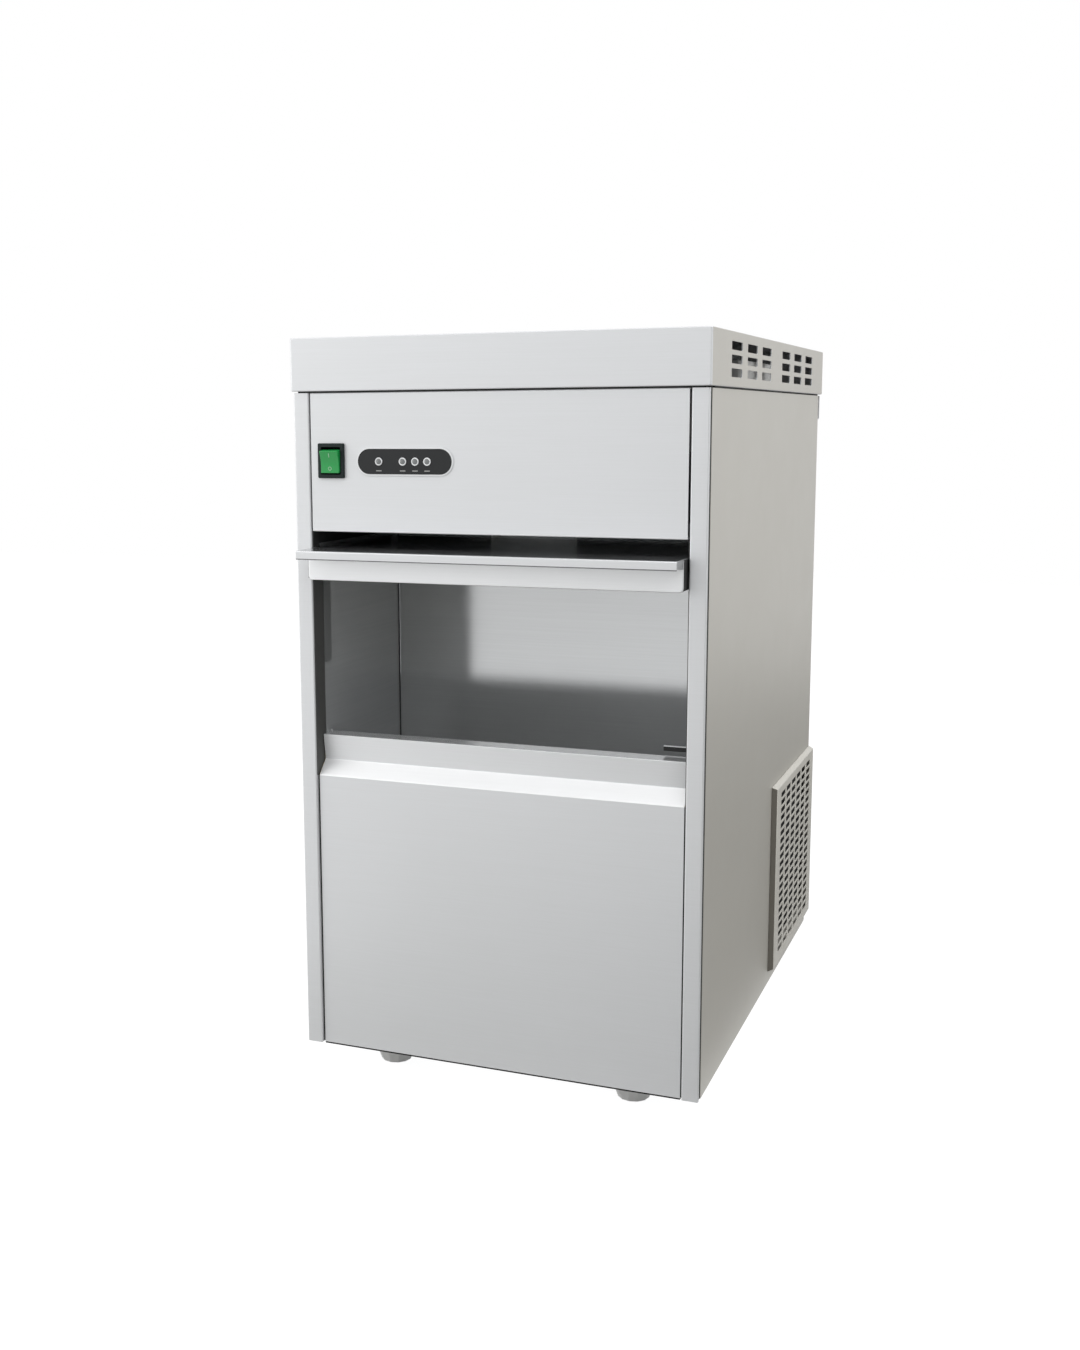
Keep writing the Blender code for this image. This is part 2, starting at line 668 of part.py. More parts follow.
def make_grilles():
    """Moulded louvre panels: a bevelled frame proud of the skin, with rows of short slots."""
    rear = DEPTH - GRILLE_REAR_MARGIN
    front, top = rear - GRILLE_LENGTH, GRILLE_LOW + GRILLE_HEIGHT
    middle = ((front + rear) / 2, (GRILLE_LOW + top) / 2)
    plug_low, plug_high = grille_plug()
    centres = [(middle[0] + (i - (SLOT_COLUMNS - 1) / 2) * SLOT_PITCH,
                middle[1] + (j - (SLOT_ROWS - 1) / 2) * SLOT_ROW_PITCH)
               for i in range(SLOT_COLUMNS) for j in range(SLOT_ROWS)]
    for hand, side in (("left", -1), ("right", 1)):
        base = side * (half_width + SEAT)
        face = side * (half_width + GRILLE_RISE)
        spread = sorted((base, face))
        frame = block(f"{hand}_grille", (spread[0], front, GRILLE_LOW), (spread[1], rear, top),
                      "grille_plastic")
        for point in frame.data.vertices:
            if point.co.x * side > 0:
                point.co.y -= GRILLE_BEVEL * (1 if point.co.y > 0 else -1)
                point.co.z -= GRILLE_BEVEL * (1 if point.co.z > 0 else -1)
        plug = sorted((side * (half_width - SHEET - GRILLE_PLUG_DEPTH), side * (half_width + SHEET)))
        weld_block(frame, (plug[0], *plug_low), (plug[1], *plug_high))
        inside = side * (half_width - SHEET - GRILLE_PLUG_DEPTH - OVERRUN)
        hollow = sorted((inside, face - side * GRILLE_FACE))
        cut_block(frame, (hollow[0], plug_low[0] + GRILLE_WALL, plug_low[1] + GRILLE_WALL),
                  (hollow[1], plug_high[0] - GRILLE_WALL, plug_high[1] - GRILLE_WALL))
        reach = sorted((inside, face + side * OVERRUN))
        cut_grid(frame, centres, (SLOT_LENGTH, SLOT_HEIGHT), *reach)


def make_cap():
    """Folded lid with three rows of air slots in both sides."""
    side = half_width + CAP_OVERHANG
    outline = rounded((-side, -CAP_OVERHANG), (side, cap_rear), CAP_CORNER)
    cap = prism("top_cap", outline, "Z", cap_bottom, HEIGHT, "satin_steel")
    cut_block(cap, (SHEET - side, SHEET - CAP_OVERHANG, cap_bottom - OVERRUN),
              (side - SHEET, cap_rear - SHEET, HEIGHT - SHEET))
    for way in (-1, 1):
        spread = sorted((way * (half_width - FLANGE), way * (side - SHEET / 2)))
        weld_block(cap, (spread[0], PILLAR_RETURN + SEAT, cap_bottom),
                   (spread[1], DEPTH - FLANGE, cap_bottom + SHEET))
    middle_y = (cap_rear - CAP_OVERHANG) / 2
    middle_z = HEIGHT - CAP_HEIGHT / 2
    columns = [VENT_GROUP_GAP / 2 + i * VENT_PITCH for i in range(VENT_COLUMNS)]
    rows = [(j - (VENT_ROWS - 1) / 2) * VENT_ROW_PITCH for j in range(VENT_ROWS)]
    centres = [(middle_y + way * y, middle_z + z) for way in (-1, 1) for y in columns for z in rows]
    cut_grid(cap, centres, (VENT_LENGTH, VENT_HEIGHT), -side - OVERRUN, side + OVERRUN)


def make_rear_panel():
    """Rear skin, stepped out under the cap, with holes for the services."""
    step = panel_top - RAIL_HEIGHT
    path = ((cap_rear - CAP_OVERHANG, panel_top), (cap_rear - CAP_OVERHANG, step),
            (rear_face, step), (rear_face, 0))
    skin = prism("rear_panel", folded(path), "X", SEAT - half_width, half_width - SEAT, "satin_steel")
    start, length = rear_face - SHEET - OVERRUN, SHEET + 2 * OVERRUN
    bore(skin, INLET_NIPPLE_RADIUS + SEAT, (INLET_X, start, inlet_z), length, "Y")
    bore(skin, DRAIN_HOSE_RADIUS + SEAT, (DRAIN_OUTLET_X, start, DRAIN_OUTLET_Z), length, "Y")
    reach_x = SOCKET_WIDTH / 2 + SOCKET_WALL + SEAT
    reach_z = SOCKET_HEIGHT / 2 + SOCKET_WALL + SEAT
    cut_block(skin, (SOCKET_X - reach_x, start, SOCKET_Z - reach_z),
              (SOCKET_X + reach_x, start + length, SOCKET_Z + reach_z))


def make_control_panel():
    """Front panel with return flanges, cut out for the switch and the display."""
    path = ((FLANGE, control_bottom), (0, control_bottom), (0, panel_top), (FLANGE, panel_top))
    panel = prism("control_panel", folded(path), "X", -panel_half, panel_half, "satin_steel")
    switch_z = control_bottom + SWITCH_Z
    reach_x = BEZEL_WIDTH / 2 - BEZEL_RIM + SEAT
    reach_z = BEZEL_HEIGHT / 2 - BEZEL_RIM + SEAT
    cut_block(panel, (SWITCH_X - reach_x, -OVERRUN, switch_z - reach_z),
              (SWITCH_X + reach_x, SHEET + OVERRUN, switch_z + reach_z))
    cut(panel, pill(tool_name(panel), DISPLAY_BODY_INSET - SEAT, -OVERRUN, SHEET + OVERRUN))


def pill(name, inset, start, end, finish=None):
    """Stadium about the display's middle, narrowed all round by inset."""
    z = control_bottom + DISPLAY_Z
    reach_x, reach_z = DISPLAY_WIDTH / 2 - inset, DISPLAY_HEIGHT / 2 - inset
    low, high = (DISPLAY_X - reach_x, z - reach_z), (DISPLAY_X + reach_x, z + reach_z)
    outline = rounded(low, high, reach_z * (1 - SEAT), steps=6)
    return prism(name, outline, "Y", start, end, finish, smooth=True)


def make_switch(rocker_pivot):
    """Lighted rocker switch: a snap-in body with a rim, and a key that rocks on two pips."""
    z = control_bottom + SWITCH_Z
    half_x, half_z = BEZEL_WIDTH / 2, BEZEL_HEIGHT / 2
    body_x, body_z = half_x - BEZEL_RIM, half_z - BEZEL_RIM
    bezel = block("switch_bezel", (SWITCH_X - half_x, -BEZEL_RISE, z - half_z),
                  (SWITCH_X + half_x, -SEAT, z + half_z), "black_plastic")
    weld_block(bezel, (SWITCH_X - body_x, -BEZEL_RISE + SEAT, z - body_z),
               (SWITCH_X + body_x, BEZEL_BODY_DEPTH, z + body_z))
    well_x, well_z = body_x - SHEET, body_z - SHEET
    well_floor = BEZEL_BODY_DEPTH - 2 * SHEET
    cut_block(bezel, (SWITCH_X - well_x, -BEZEL_RISE - OVERRUN, z - well_z),
              (SWITCH_X + well_x, well_floor, z + well_z))
    bore(bezel, ROCKER_PIN_RADIUS + ROCKER_CLEARANCE / 2, (SWITCH_X - body_x - OVERRUN, rocker_y(), z),
         2 * (body_x + OVERRUN), "X", FOOT_SIDES)
    key_x = well_x - ROCKER_CLEARANCE
    key = prism("switch_rocker", rocker_outline(well_z - ROCKER_CLEARANCE), "X",
                SWITCH_X - key_x, SWITCH_X + key_x, "green_lens", rocker_pivot)
    weld(key, rod(tool_name(key), ROCKER_PIN_RADIUS, (SWITCH_X - key_x - ROCKER_PIN_DEPTH, rocker_y(), z),
                  2 * (key_x + ROCKER_PIN_DEPTH), "X", sides=FOOT_SIDES, parent=rocker_pivot))


def rocker_y():
    return ROCKER_THICKNESS - ROCKER_PROUD - BEZEL_RISE


def rocker_outline(half):
    """Shallow V-faced key, tilted to its ON side, in (y, z)."""
    z = control_bottom + SWITCH_Z
    reach = half * cos(ROCKER_TILT) - ROCKER_THICKNESS * sin(ROCKER_TILT)
    front, back = -ROCKER_THICKNESS, ROCKER_THICKNESS / 4
    dip = ROCKER_THICKNESS / 6
    shape = ((front, reach), (front + dip, 0), (front, -reach), (back, -reach), (back, reach))
    return [(rocker_y() + y * cos(ROCKER_TILT) - h * sin(ROCKER_TILT),
             z + y * sin(ROCKER_TILT) + h * cos(ROCKER_TILT)) for y, h in shape]


def make_display():
    """Pill-shaped display housing with four indicator lenses pressed into it."""
    z = control_bottom + DISPLAY_Z
    front = pill("display_bezel", 0, -DISPLAY_RISE, -SEAT, "dark_display")
    weld(front, pill(tool_name(front), DISPLAY_BODY_INSET, -DISPLAY_RISE / 2, DISPLAY_BODY_DEPTH))
    for number, offset in enumerate(LENS_PLACES, start=1):
        x = DISPLAY_X + offset
        bore(front, LENS_STEM_RADIUS + SEAT, (x, -DISPLAY_RISE - OVERRUN, z),
             DISPLAY_RISE + DISPLAY_BODY_DEPTH, "Y", FOOT_SIDES)
        profile = ((0, 0), (LENS_RADIUS, 0), (LENS_RADIUS, LENS_RISE), (LENS_STEM_RADIUS, LENS_RISE),
                   (LENS_STEM_RADIUS, DISPLAY_BODY_DEPTH / 2), (0, DISPLAY_BODY_DEPTH / 2))
        place = (x, -DISPLAY_RISE - LENS_RISE - SEAT, z)
        turned(f"indicator_lens_{number}", profile, place, "Y", "lamp_lens", FOOT_SIDES)


def lower_panel_path():
    """Outer face of the lower front panel in (y, z), from its bottom flange to its top hem."""
    recess_low = sill_height - RECESS_HEIGHT
    deep = LOWER_FACE + SLANT_RISE
    lean = deep - RECESS_LEAN
    return ((PILLAR_RETURN, 0), (LOWER_FACE, 0), (LOWER_FACE, recess_low - SLANT_RISE),
            (deep, recess_low), (lean, sill_height), (lean + HEM_RETURN, sill_height))


def make_lower_panel():
    """Folded front panel: flat face, slant back to the finger recess, hem along the sill."""
    outline = folded(lower_panel_path())
    prism("lower_front_panel", outline, "X", -panel_half, panel_half, "satin_steel")


def make_liner():
    """Welded stainless bin, open in front above the sill, with a drain spout in its floor."""
    out = BIN_HALF_WIDTH + SHEET
    sill = sill_height - SILL_STEP
    liner = block("bin_liner", (-out, LINER_FLANGE_FRONT, BIN_FLOOR - SHEET),
                  (out, bin_back + SHEET, liner_top), "brushed_steel")
    cut_block(liner, (-BIN_HALF_WIDTH, BIN_FRONT_WALL, BIN_FLOOR),
              (BIN_HALF_WIDTH, bin_back, liner_top + OVERRUN))
    cut_block(liner, (-BIN_HALF_WIDTH, LINER_FLANGE_FRONT - OVERRUN, sill),
              (BIN_HALF_WIDTH, BIN_FRONT_WALL + OVERRUN, liner_top + OVERRUN))
    cut_block(liner, (-out - OVERRUN, LINER_FLANGE_FRONT - OVERRUN, -OVERRUN),
              (out + OVERRUN, BIN_FRONT_WALL - SHEET, sill - SHEET))
    notch = half_width - PILLAR_WIDTH - SEAT
    for side in (-1, 1):
        spread = sorted((side * notch, side * (out + OVERRUN)))
        cut_block(liner, (spread[0], LINER_FLANGE_FRONT - OVERRUN, BIN_FLOOR),
                  (spread[1], PILLAR_RETURN + SEAT, liner_top + OVERRUN))
    cut_block(liner, (chute_x[0] - SEAT, bin_back - OVERRUN, chute_low - SEAT),
              (chute_x[1] + SEAT, bin_back + SHEET + OVERRUN, chute_top + SEAT))
    x, y = drain_place()
    spout = BIN_FLOOR - DRAIN_SPOUT
    weld(liner, rod(tool_name(liner), DRAIN_RADIUS, (x, y, spout), DRAIN_SPOUT - SHEET / 2, "Z"))
    bore(liner, DRAIN_RADIUS - DRAIN_WALL, (x, y, spout - OVERRUN), DRAIN_SPOUT + 2 * OVERRUN, "Z")


def drain_place():
    return DRAIN_X, bin_back - DRAIN_FROM_BACK


def make_probe():
    """Level probe on the bin's right wall, just over the sill."""
    tip = BIN_HALF_WIDTH - PROBE_LENGTH
    low = (sill_height - SILL_STEP) + SEAT
    front = BIN_FRONT_WALL + PROBE_BEHIND_WALL
    outline = ((tip + PROBE_CHAMFER, front), (BIN_HALF_WIDTH - SEAT, front),
               (BIN_HALF_WIDTH - SEAT, front + PROBE_DEPTH),
               (tip + PROBE_CHAMFER, front + PROBE_DEPTH),
               (tip, front + PROBE_DEPTH - PROBE_CHAMFER), (tip, front + PROBE_CHAMFER))
    prism("bin_probe", outline, "Z", low, low + PROBE_THICKNESS, "grey_plastic")


def make_insulation():
    """Foam shell between the liner and the cabinet, poured as one piece round the bin."""
    out = inner_half - SHEET - SEAT
    front = PAN_FRONT + SHEET + SEAT
    low = BIN_FLOOR - SHEET - SEAT - FLOOR_INSULATION
    skin = BIN_HALF_WIDTH + SHEET + SEAT
    foam = block("bin_insulation", (-out, front, low), (out, divider_y - SEAT, liner_top), "foam")
    weld(foam, prism(tool_name(foam), front_foam_outline(front, low), "X",
                     SEAT + PILLAR_WIDTH - half_width, half_width - PILLAR_WIDTH - SEAT))
    cut_block(foam, (-skin, BIN_FRONT_WALL - SHEET - SEAT, BIN_FLOOR - SHEET - SEAT),
              (skin, bin_back + SHEET + SEAT, liner_top + OVERRUN))
    sill = sill_height - SILL_STEP - SHEET - SEAT
    cut_block(foam, (-skin, -OVERRUN, sill), (skin, BIN_FRONT_WALL + OVERRUN, liner_top + OVERRUN))
    cut_block(foam, (chute_x[0] - SEAT, bin_back, chute_low - SEAT),
              (chute_x[1] + SEAT, divider_y + OVERRUN, chute_top + SEAT))
    x, y = drain_place()
    bore(foam, DRAIN_RADIUS + SEAT, (x, y, low - OVERRUN), FLOOR_INSULATION + 2 * OVERRUN, "Z")


def front_foam_outline(rear, low):
    """Foam behind the lower panel, following its slant, in (y, z)."""
    recess_low = sill_height - RECESS_HEIGHT
    face = LOWER_FACE + SHEET + SEAT
    deep = LOWER_FACE + SLANT_RISE + SHEET + SEAT
    start = max(low, PAN_WALL + SEAT)
    return ((face, start), (face, recess_low - SLANT_RISE - SHEET), (deep, recess_low - SHEET),
            (deep, sill_height - SILL_STEP - SHEET), (rear + OVERRUN, sill_height - SILL_STEP - SHEET),
            (rear + OVERRUN, start))


def make_inner_frame():
    """Bin ceiling, divider with its motor shelf, and the deck that carries the reservoir."""
    ceiling_front = FLANGE + SEAT
    path = ((divider_y - SEAT, ceiling_z), (ceiling_front, ceiling_z),
            (ceiling_front, ceiling_z + CEILING_LIP))
    span = half_width - PILLAR_WIDTH - SEAT
    prism("bin_ceiling", folded(path), "X", -span, span, "galvanised")
    divider = block("divider_panel", (SHEET + SEAT - inner_half, divider_y, pan_floor),
                    (inner_half - SHEET - SEAT, divider_rear, deck_z - SEAT), "galvanised")
    cut_block(divider, (chute_x[0] - SEAT, divider_y - OVERRUN, chute_low - SEAT),
              (chute_x[1] + SEAT, divider_rear + OVERRUN, chute_top + SEAT))
    start = divider_y + SHEET / 2
    leg, reach = divider_rear + BRACKET_THICKNESS, divider_rear + BRACKET_SHELF
    leg_low, under = bracket_height - BRACKET_LEG, bracket_height - BRACKET_THICKNESS
    shelf = ((start, leg_low), (leg, leg_low), (leg, under), (reach, under),
             (reach, bracket_height), (start, bracket_height))
    weld(divider, prism(tool_name(divider), shelf, "X", CHUTE_X - GEAR_CASE_WIDTH / 2,
                        CHUTE_X + GEAR_CASE_WIDTH / 2))
    x = drain_place()[0]
    hole = DRAIN_HOSE_RADIUS + DRAIN_HOLE_CLEARANCE
    bore(divider, hole, (x, divider_y - OVERRUN, drain_bend_z()),
         SHEET + 2 * OVERRUN, "Y")
    top = deck_z + SHEET
    rear = DECK_FRONT + DECK_LENGTH
    path = ((DECK_FRONT, top - DECK_FLANGE), (DECK_FRONT, top), (rear, top), (rear, top - DECK_FLANGE))
    deck = prism("top_deck", folded(path), "X", -inner_half, inner_half, "galvanised")
    x, y, _ = spigot_place()
    bore(deck, SPIGOT_RADIUS + SEAT, (x, y, deck_z - OVERRUN), SHEET + 2 * OVERRUN, "Z", FOOT_SIDES)


def drain_bend_z():
    """Height at which the drain hose passes through the divider."""
    return pan_floor + DRAIN_HOSE_RADIUS + DRAIN_HOSE_CLEARANCE


def make_door(door_pivot, axle_carrier):
    """Insulated door: folded skin with a finger lip, inner pan, foam core and hinge bar."""
    rear = pin_y - HINGE_BAR_LENGTH
    half_turn = arc((pin_y, pin_z), DOOR_THICKNESS / 2, 90, -90, 8)
    path = [(door_end - LIP_REACH, door_top - LIP_HOOK), (door_end - LIP_REACH, door_top)]
    path += half_turn + [(rear + SEAT, door_bottom)]
    prism("door_skin", folded(path), "X", -DOOR_HALF_WIDTH, DOOR_HALF_WIDTH, "satin_steel", door_pivot)

    top = door_top - SHEET - SEAT
    outer = round_bottom(DOOR_HALF_WIDTH, door_bottom, top, BAND_CORNER)
    pan = prism("door_inner_pan", outer, "Y", door_end, rear - SEAT, "satin_steel", door_pivot)
    hollow = round_bottom(DOOR_HALF_WIDTH - SHEET, door_bottom + SHEET, top + OVERRUN,
                          BAND_CORNER - SHEET)
    cut(pan, prism(tool_name(pan), hollow, "Y", door_end + SHEET, rear - SEAT - SHEET))
    space = SHEET + SEAT
    core = round_bottom(DOOR_HALF_WIDTH - space, door_bottom + space, top, BAND_CORNER - space)
    prism("door_core", core, "Y", door_end + space, rear - SEAT - space, "foam", door_pivot)

    reach = DOOR_THICKNESS / 2 - space
    bar_outline = [(rear, pin_z + reach)] + arc((pin_y, pin_z), reach, 90, -90, 8) + [(rear, pin_z - reach)]
    bar = prism("door_hinge_bar", bar_outline, "X", SEAT - DOOR_HALF_WIDTH, DOOR_HALF_WIDTH - SEAT,
                "grey_plastic", door_pivot)
    bore(bar, AXLE_RADIUS + AXLE_CLEARANCE, (-DOOR_HALF_WIDTH - OVERRUN, pin_y, pin_z),
         2 * (DOOR_HALF_WIDTH + OVERRUN), "X", FOOT_SIDES)

    disc_start = guide_inner + SEAT
    disc_end = guide_inner + GUIDE_THICKNESS - SEAT
    profile = ((0, -disc_end), (GLIDE_RADIUS, -disc_end), (GLIDE_RADIUS, -disc_start),
               (AXLE_RADIUS, -disc_start), (AXLE_RADIUS, disc_start), (GLIDE_RADIUS, disc_start),
               (GLIDE_RADIUS, disc_end), (0, disc_end))
    turned("door_axle", profile, (0, pin_y, pin_z), "X", "brushed_steel", ROUND_SIDES // 2, axle_carrier)


def round_bottom(half, low, high, radius):
    """Front view of the door's pan, with its two lower corners rounded, in (x, z)."""
    left = arc((radius - half, low + radius), radius, 180, 270, 3)
    right = arc((half - radius, low + radius), radius, 270, 360, 3)
    return [(-half, high)] + left + right + [(half, high)]


def make_guides():
    """Moulded guides on the liner's side walls, whose sloping track carries the axle's glides."""
    leg_front = PILLAR_RETURN + 2 * SEAT
    rear, top = pin_y + guide_reach, liner_top - SEAT
    low = pin_z - guide_reach
    nose_low, nose_high = closed_pin_z - guide_reach, closed_pin_z + guide_reach
    outline = ((leg_front, low - GUIDE_LEG_DROP), (leg_front + GUIDE_LEG_WIDTH, low - GUIDE_LEG_DROP),
               (leg_front + GUIDE_LEG_WIDTH, low), (rear, low), (rear, top), (leg_front, top),
               (leg_front, nose_high), (nose_front, nose_high), (nose_front, nose_low),
               (leg_front, nose_low))
    width = GLIDE_RADIUS + GLIDE_CLEARANCE
    run = Vector((TRACK_RUN, -TRACK_DROP)).normalized()
    across = Vector((-run.y, run.x)) * width
    start = Vector((closed_pin_y, closed_pin_z)) - run * width
    end = Vector((pin_y, pin_z)) + run * width
    track = [tuple(p) for p in (start - across, end - across, end + across, start + across)]
    for hand, side in (("left", -1), ("right", 1)):
        spread = sorted((side * guide_inner, side * (guide_inner + GUIDE_THICKNESS)))
        guide = prism(f"{hand}_door_guide", outline, "X", *spread, "grey_plastic")
        cut(guide, prism(tool_name(guide), track, "X", spread[0] - OVERRUN, spread[1] + OVERRUN))


def flap_pivot_place():
    y = bin_back + FLAP_BEHIND_WALL
    return CHUTE_X, y, chute_top - CHUTE_WALL - FLAP_BARREL_RADIUS - SEAT


def make_chute(flap_pivot):
    """Plastic duct from the evaporator's head into the bin, with the ice-full flap inside."""
    front = bin_back + SEAT
    duct = block("ice_chute", (chute_x[0], front, chute_low), (chute_x[1], chute_rear, chute_top),
                 "white_plastic")
    cut_block(duct, (chute_x[0] + CHUTE_WALL, front - OVERRUN, chute_low + CHUTE_WALL),
              (chute_x[1] - CHUTE_WALL, chute_rear + OVERRUN, chute_top - CHUTE_WALL))
    x, y, z = flap_pivot_place()
    half = CHUTE_WIDTH / 2 - CHUTE_WALL
    start = (x - half - CHUTE_WALL - OVERRUN, y, z)
    bore(duct, FLAP_BARREL_RADIUS / 2 + SEAT, start, CHUTE_WIDTH + 2 * OVERRUN, "X", FOOT_SIDES)
    leaf_half = half - FLAP_CLEARANCE / 2
    leaf_low = chute_low + CHUTE_WALL + FLAP_CLEARANCE
    flap = block("chute_flap", (x - leaf_half, y - FLAP_THICKNESS / 2, leaf_low),
                 (x + leaf_half, y + FLAP_THICKNESS / 2, z), "brushed_steel", flap_pivot)
    weld(flap, rod(tool_name(flap), FLAP_BARREL_RADIUS, (x - leaf_half, y, z), 2 * leaf_half, "X",
                   sides=FOOT_SIDES, parent=flap_pivot))
    pin_half = half + CHUTE_WALL / 2
    weld(flap, rod(tool_name(flap), FLAP_BARREL_RADIUS / 2, (x - pin_half, y, z), 2 * pin_half, "X",
                   sides=FOOT_SIDES, parent=flap_pivot))
    pocket_front = divider_rear + SEAT
    weld_block(duct, (x - SENSOR_POCKET_WIDTH / 2, pocket_front, chute_top - CHUTE_WALL / 2),
               (x + SENSOR_POCKET_WIDTH / 2, pocket_front + SENSOR_POCKET_LENGTH,
                chute_top + SENSOR_POCKET_HEIGHT))


def make_gear_motor():
    """Gear case on the divider's shelf with its motor on the left and a shaft out of its top."""
    half_x, half_y = GEAR_CASE_WIDTH / 2, GEAR_CASE_DEPTH / 2
    case = block("gear_motor", (CHUTE_X - half_x, evaporator_y - half_y, gear_case_low),
                 (CHUTE_X + half_x, evaporator_y + half_y, gear_case_top), "black_paint")
    motor_z = bracket_height + GEAR_CASE_HEIGHT / 2
    start = CHUTE_X - half_x - MOTOR_LENGTH
    weld(case, rod(tool_name(case), MOTOR_RADIUS, (start, evaporator_y, motor_z),
                   MOTOR_LENGTH - SEAT, "X", sides=MOTOR_SIDES))
    inside = 2 * SHEET
    neck = MOTOR_RADIUS / 2
    weld(case, rod(tool_name(case), neck, (CHUTE_X - half_x - inside, evaporator_y, motor_z),
                   2 * inside, "X", sides=MOTOR_SIDES))
    weld(case, rod(tool_name(case), DRIVE_SHAFT_RADIUS, (CHUTE_X, evaporator_y, gear_case_top - inside),
                   DRIVE_SHAFT_LENGTH + inside, "Z", sides=FOOT_SIDES))


def make_evaporator(auger_pivot):
    """Upright barrel with its foam jacket, outlet head, auger and drive coupling."""
    place = (CHUTE_X, evaporator_y, 0)
    shaft_hole = DRIVE_SHAFT_RADIUS + COUPLING_CLEARANCE
    ledge = barrel_low + STAND_HEIGHT
    inner_stand = STAND_RADIUS - STAND_WALL
    profile = ((inner_stand, barrel_low), (STAND_RADIUS, barrel_low), (STAND_RADIUS, barrel_floor),
               (BARREL_RADIUS, barrel_floor), (BARREL_RADIUS, barrel_top), (BARREL_BORE, barrel_top),
               (BARREL_BORE, barrel_floor), (shaft_hole, barrel_floor), (shaft_hole, ledge),
               (inner_stand, ledge))
    turned("evaporator_barrel", profile, place, "Z", "brushed_steel")
    low, high = barrel_floor + SEAT, chute_low - SEAT
    profile = ((BARREL_RADIUS + SEAT, low), (JACKET_RADIUS, low), (JACKET_RADIUS, high),
               (BARREL_RADIUS + SEAT, high))
    turned("evaporator_jacket", profile, place, "Z", "white_plastic")

    seat, roof = barrel_top + SEAT, head_top - HEAD_CROWN
    wall = HEAD_RADIUS - HEAD_WALL
    profile = ((BARREL_BORE, seat), (HEAD_RADIUS, seat), (HEAD_RADIUS, head_top), (shaft_hole, head_top),
               (shaft_hole, roof), (wall, roof), (wall, seat + HEAD_BASE), (BARREL_BORE, seat + HEAD_BASE))
    head = turned("outlet_head", profile, place, "Z", "white_plastic")
    window = HEAD_WINDOW / 2
    cut_block(head, (CHUTE_X - window, evaporator_y - HEAD_RADIUS - OVERRUN, seat + HEAD_BASE + SEAT),
              (CHUTE_X + window, evaporator_y - BARREL_BORE / 2, roof - SEAT))
    make_auger(auger_pivot, roof)
    coupling_low = gear_case_top + SHEET
    hole = DRIVE_SHAFT_RADIUS + SEAT
    profile = ((hole, coupling_low), (COUPLING_RADIUS, coupling_low),
               (COUPLING_RADIUS, coupling_low + COUPLING_LENGTH), (hole, coupling_low + COUPLING_LENGTH))
    profile = [(r, h - barrel_low) for r, h in profile]
    turned("drive_coupling", profile, (CHUTE_X, evaporator_y, barrel_low), "Z", "aluminium",
           parent=auger_pivot)


def make_auger(auger_pivot, roof):
    """Ice auger: shaft from the coupling to the head's bearing, with a helical flight."""
    start = gear_case_top + DRIVE_SHAFT_LENGTH + SHEET
    core_low, core_high = barrel_floor + AUGER_CLEARANCE, barrel_top
    profile = ((0, start), (DRIVE_SHAFT_RADIUS, start), (DRIVE_SHAFT_RADIUS, core_low),
               (AUGER_CORE, core_low), (AUGER_CORE, core_high), (DRIVE_SHAFT_RADIUS, core_high),
               (DRIVE_SHAFT_RADIUS, roof + HEAD_CROWN - SHEET), (0, roof + HEAD_CROWN - SHEET))
    profile = [(r, h - barrel_low) for r, h in profile]
    auger = turned("auger", profile, (CHUTE_X, evaporator_y, barrel_low), "Z", "brushed_steel",
                   parent=auger_pivot)
    shell = bmesh.new()
    low = core_low + AUGER_CLEARANCE
    climb = core_high - low - FLIGHT_THICKNESS
    steps = int(FLIGHT_STEPS * climb / FLIGHT_PITCH)
    outer, inner = BARREL_BORE - AUGER_CLEARANCE, AUGER_CORE - AUGER_CLEARANCE
    rings = []
    for step in range(steps + 1):
        turn = 2 * pi * climb / FLIGHT_PITCH * step / steps
        height = low + climb * step / steps - barrel_low
        corners = ((inner, 0), (outer, 0), (outer, FLIGHT_THICKNESS), (inner, FLIGHT_THICKNESS))
        rings.append([shell.verts.new((r * cos(turn), r * sin(turn), height + h)) for r, h in corners])
    for here, there in zip(rings, rings[1:]):
        for i in range(4):
            j = (i + 1) % 4
            shell.faces.new((here[i], here[j], there[j], there[i]))
    shell.faces.new(rings[0])
    shell.faces.new(rings[-1][::-1])
    weld(auger, settle(tool_name(auger), shell, (CHUTE_X, evaporator_y, barrel_low), None, auger_pivot))


def spigot_place():
    """Middle of the reservoir's outlet spigot, under its floor."""
    return reservoir_x, RESERVOIR_FRONT + RESERVOIR_LENGTH - RESERVOIR_CORNER * 2, reservoir_low


